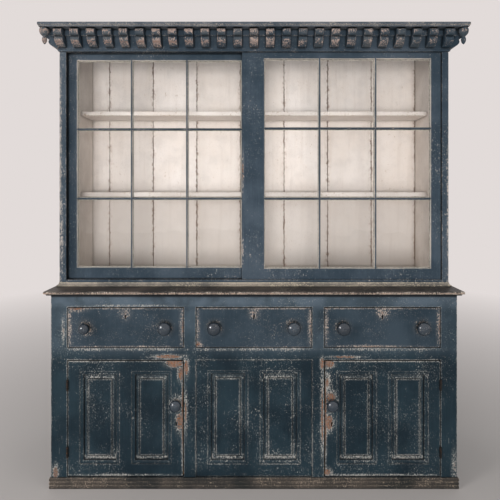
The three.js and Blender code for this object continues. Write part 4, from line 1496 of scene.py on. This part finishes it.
# Bands across the roll and the belly: wear and painted highlight.
bracket_wear_and_highlight = [(-0.6, 2.172, 2.4, 0.017, 0.50), (-0.6, 2.124, 2.4, 0.022, 0.52)]
bracket_paint = painted(
    "Bracket_face_paint", bracket_colours, bracket_wear_and_highlight, 0.006,
    arris_wear=0.5, chips=0.9, scratches=0.3, haze=0.14,
)
finish(bracket_pattern, cornice_paint, (bracket_paint, lambda centre, normal: abs(normal.x) < 0.5))


def bracket_at(name, x, y, turn):
    """A copy of the bracket, turned to stand out from the front or a side."""
    move = Matrix.Translation((x, y, cornice_head)) @ Matrix.Rotation(math.radians(turn), 4, "Z")
    keep_piece(copied(bracket_pattern, name, move), "case", "upper_paint")


front_count, side_count, end_inset = 25, 6, 0.017
for number in range(front_count):
    x = (case_half - end_inset) * (2 * number / (front_count - 1) - 1)
    bracket_at(f"Front_bracket_{number + 1:02d}", x, case_front, 0)
side_start, side_end = case_front + end_inset, case_rear - bracket_width / 2
for number in range(side_count):
    y = side_start + (side_end - side_start) * number / (side_count - 1)
    bracket_at(f"Left_bracket_{number + 1}", -case_half, y, -90)
    bracket_at(f"Right_bracket_{number + 1}", case_half, y, 90)
bpy.data.objects.remove(bracket_pattern)
print("Brackets:", front_count + 2 * side_count)

# %% [markdown]
# ## Top board and corner drops
#
# The top board lies on the cornice and is worn along its edges. Under each of its front
# corners hangs a turned drop, made on the same lathe as the knobs: a bulb under a collar, with
# a small pointed tip.

# %% Top board and corner drops
top_colours = tones((52, 62, 72), (92, 96, 102), wood=(162, 124, 104))
top_paint = painted(
    "Top_board_paint", top_colours, width=0.005, arris_wear=0.85, chips=0.7, scratches=0.0
)
softened("cornice_top", "upper_paint", [top_paint])

drop_outline = [
    (0.0000, 0.0000), (0.0185, 0.0002), (0.0200, 0.0020), (0.0212, 0.0042), (0.0228, 0.0070),
    (0.0237, 0.0110), (0.0238, 0.0155), (0.0232, 0.0205), (0.0215, 0.0260), (0.0180, 0.0320),
    (0.0130, 0.0370), (0.0088, 0.0402), (0.0076, 0.0425), (0.0090, 0.0455), (0.0112, 0.0510),
    (0.0118, 0.0565), (0.0112, 0.0620), (0.0092, 0.0680), (0.0062, 0.0735), (0.0030, 0.0775),
    (0.0000, 0.0786),
]
drop_play = 0.0004
for hand in hands:
    node = f"{hand}_corner_drop"
    low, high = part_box(node)
    hung_at = ((low.x + high.x) / 2, (low.y + high.y) / 2, cornice_head - drop_play)
    drop = turned_piece(node.capitalize(), drop_outline, hung_at, (0, 0, -1), steps=32)
    finish(drop, bracket_paint)
    keep_piece(drop, "case", "upper_paint", node)
print("Corner drops hang to", round(low.z, 3))

# %% [markdown]
# ## Locks and hinges
#
# The locks and hinges keep the frame's shape. Their edges are filed a little, and they get the
# dark iron.

# %% Locks and hinges
iron_nodes = sorted(name for name in frame["nodes"] if name.endswith("_lock") or "_hinge_" in name)
for node in iron_nodes:
    softened(node, "hinge_iron", [iron], iron_arris, segments=1)
print("Iron pieces:", len(iron_nodes))
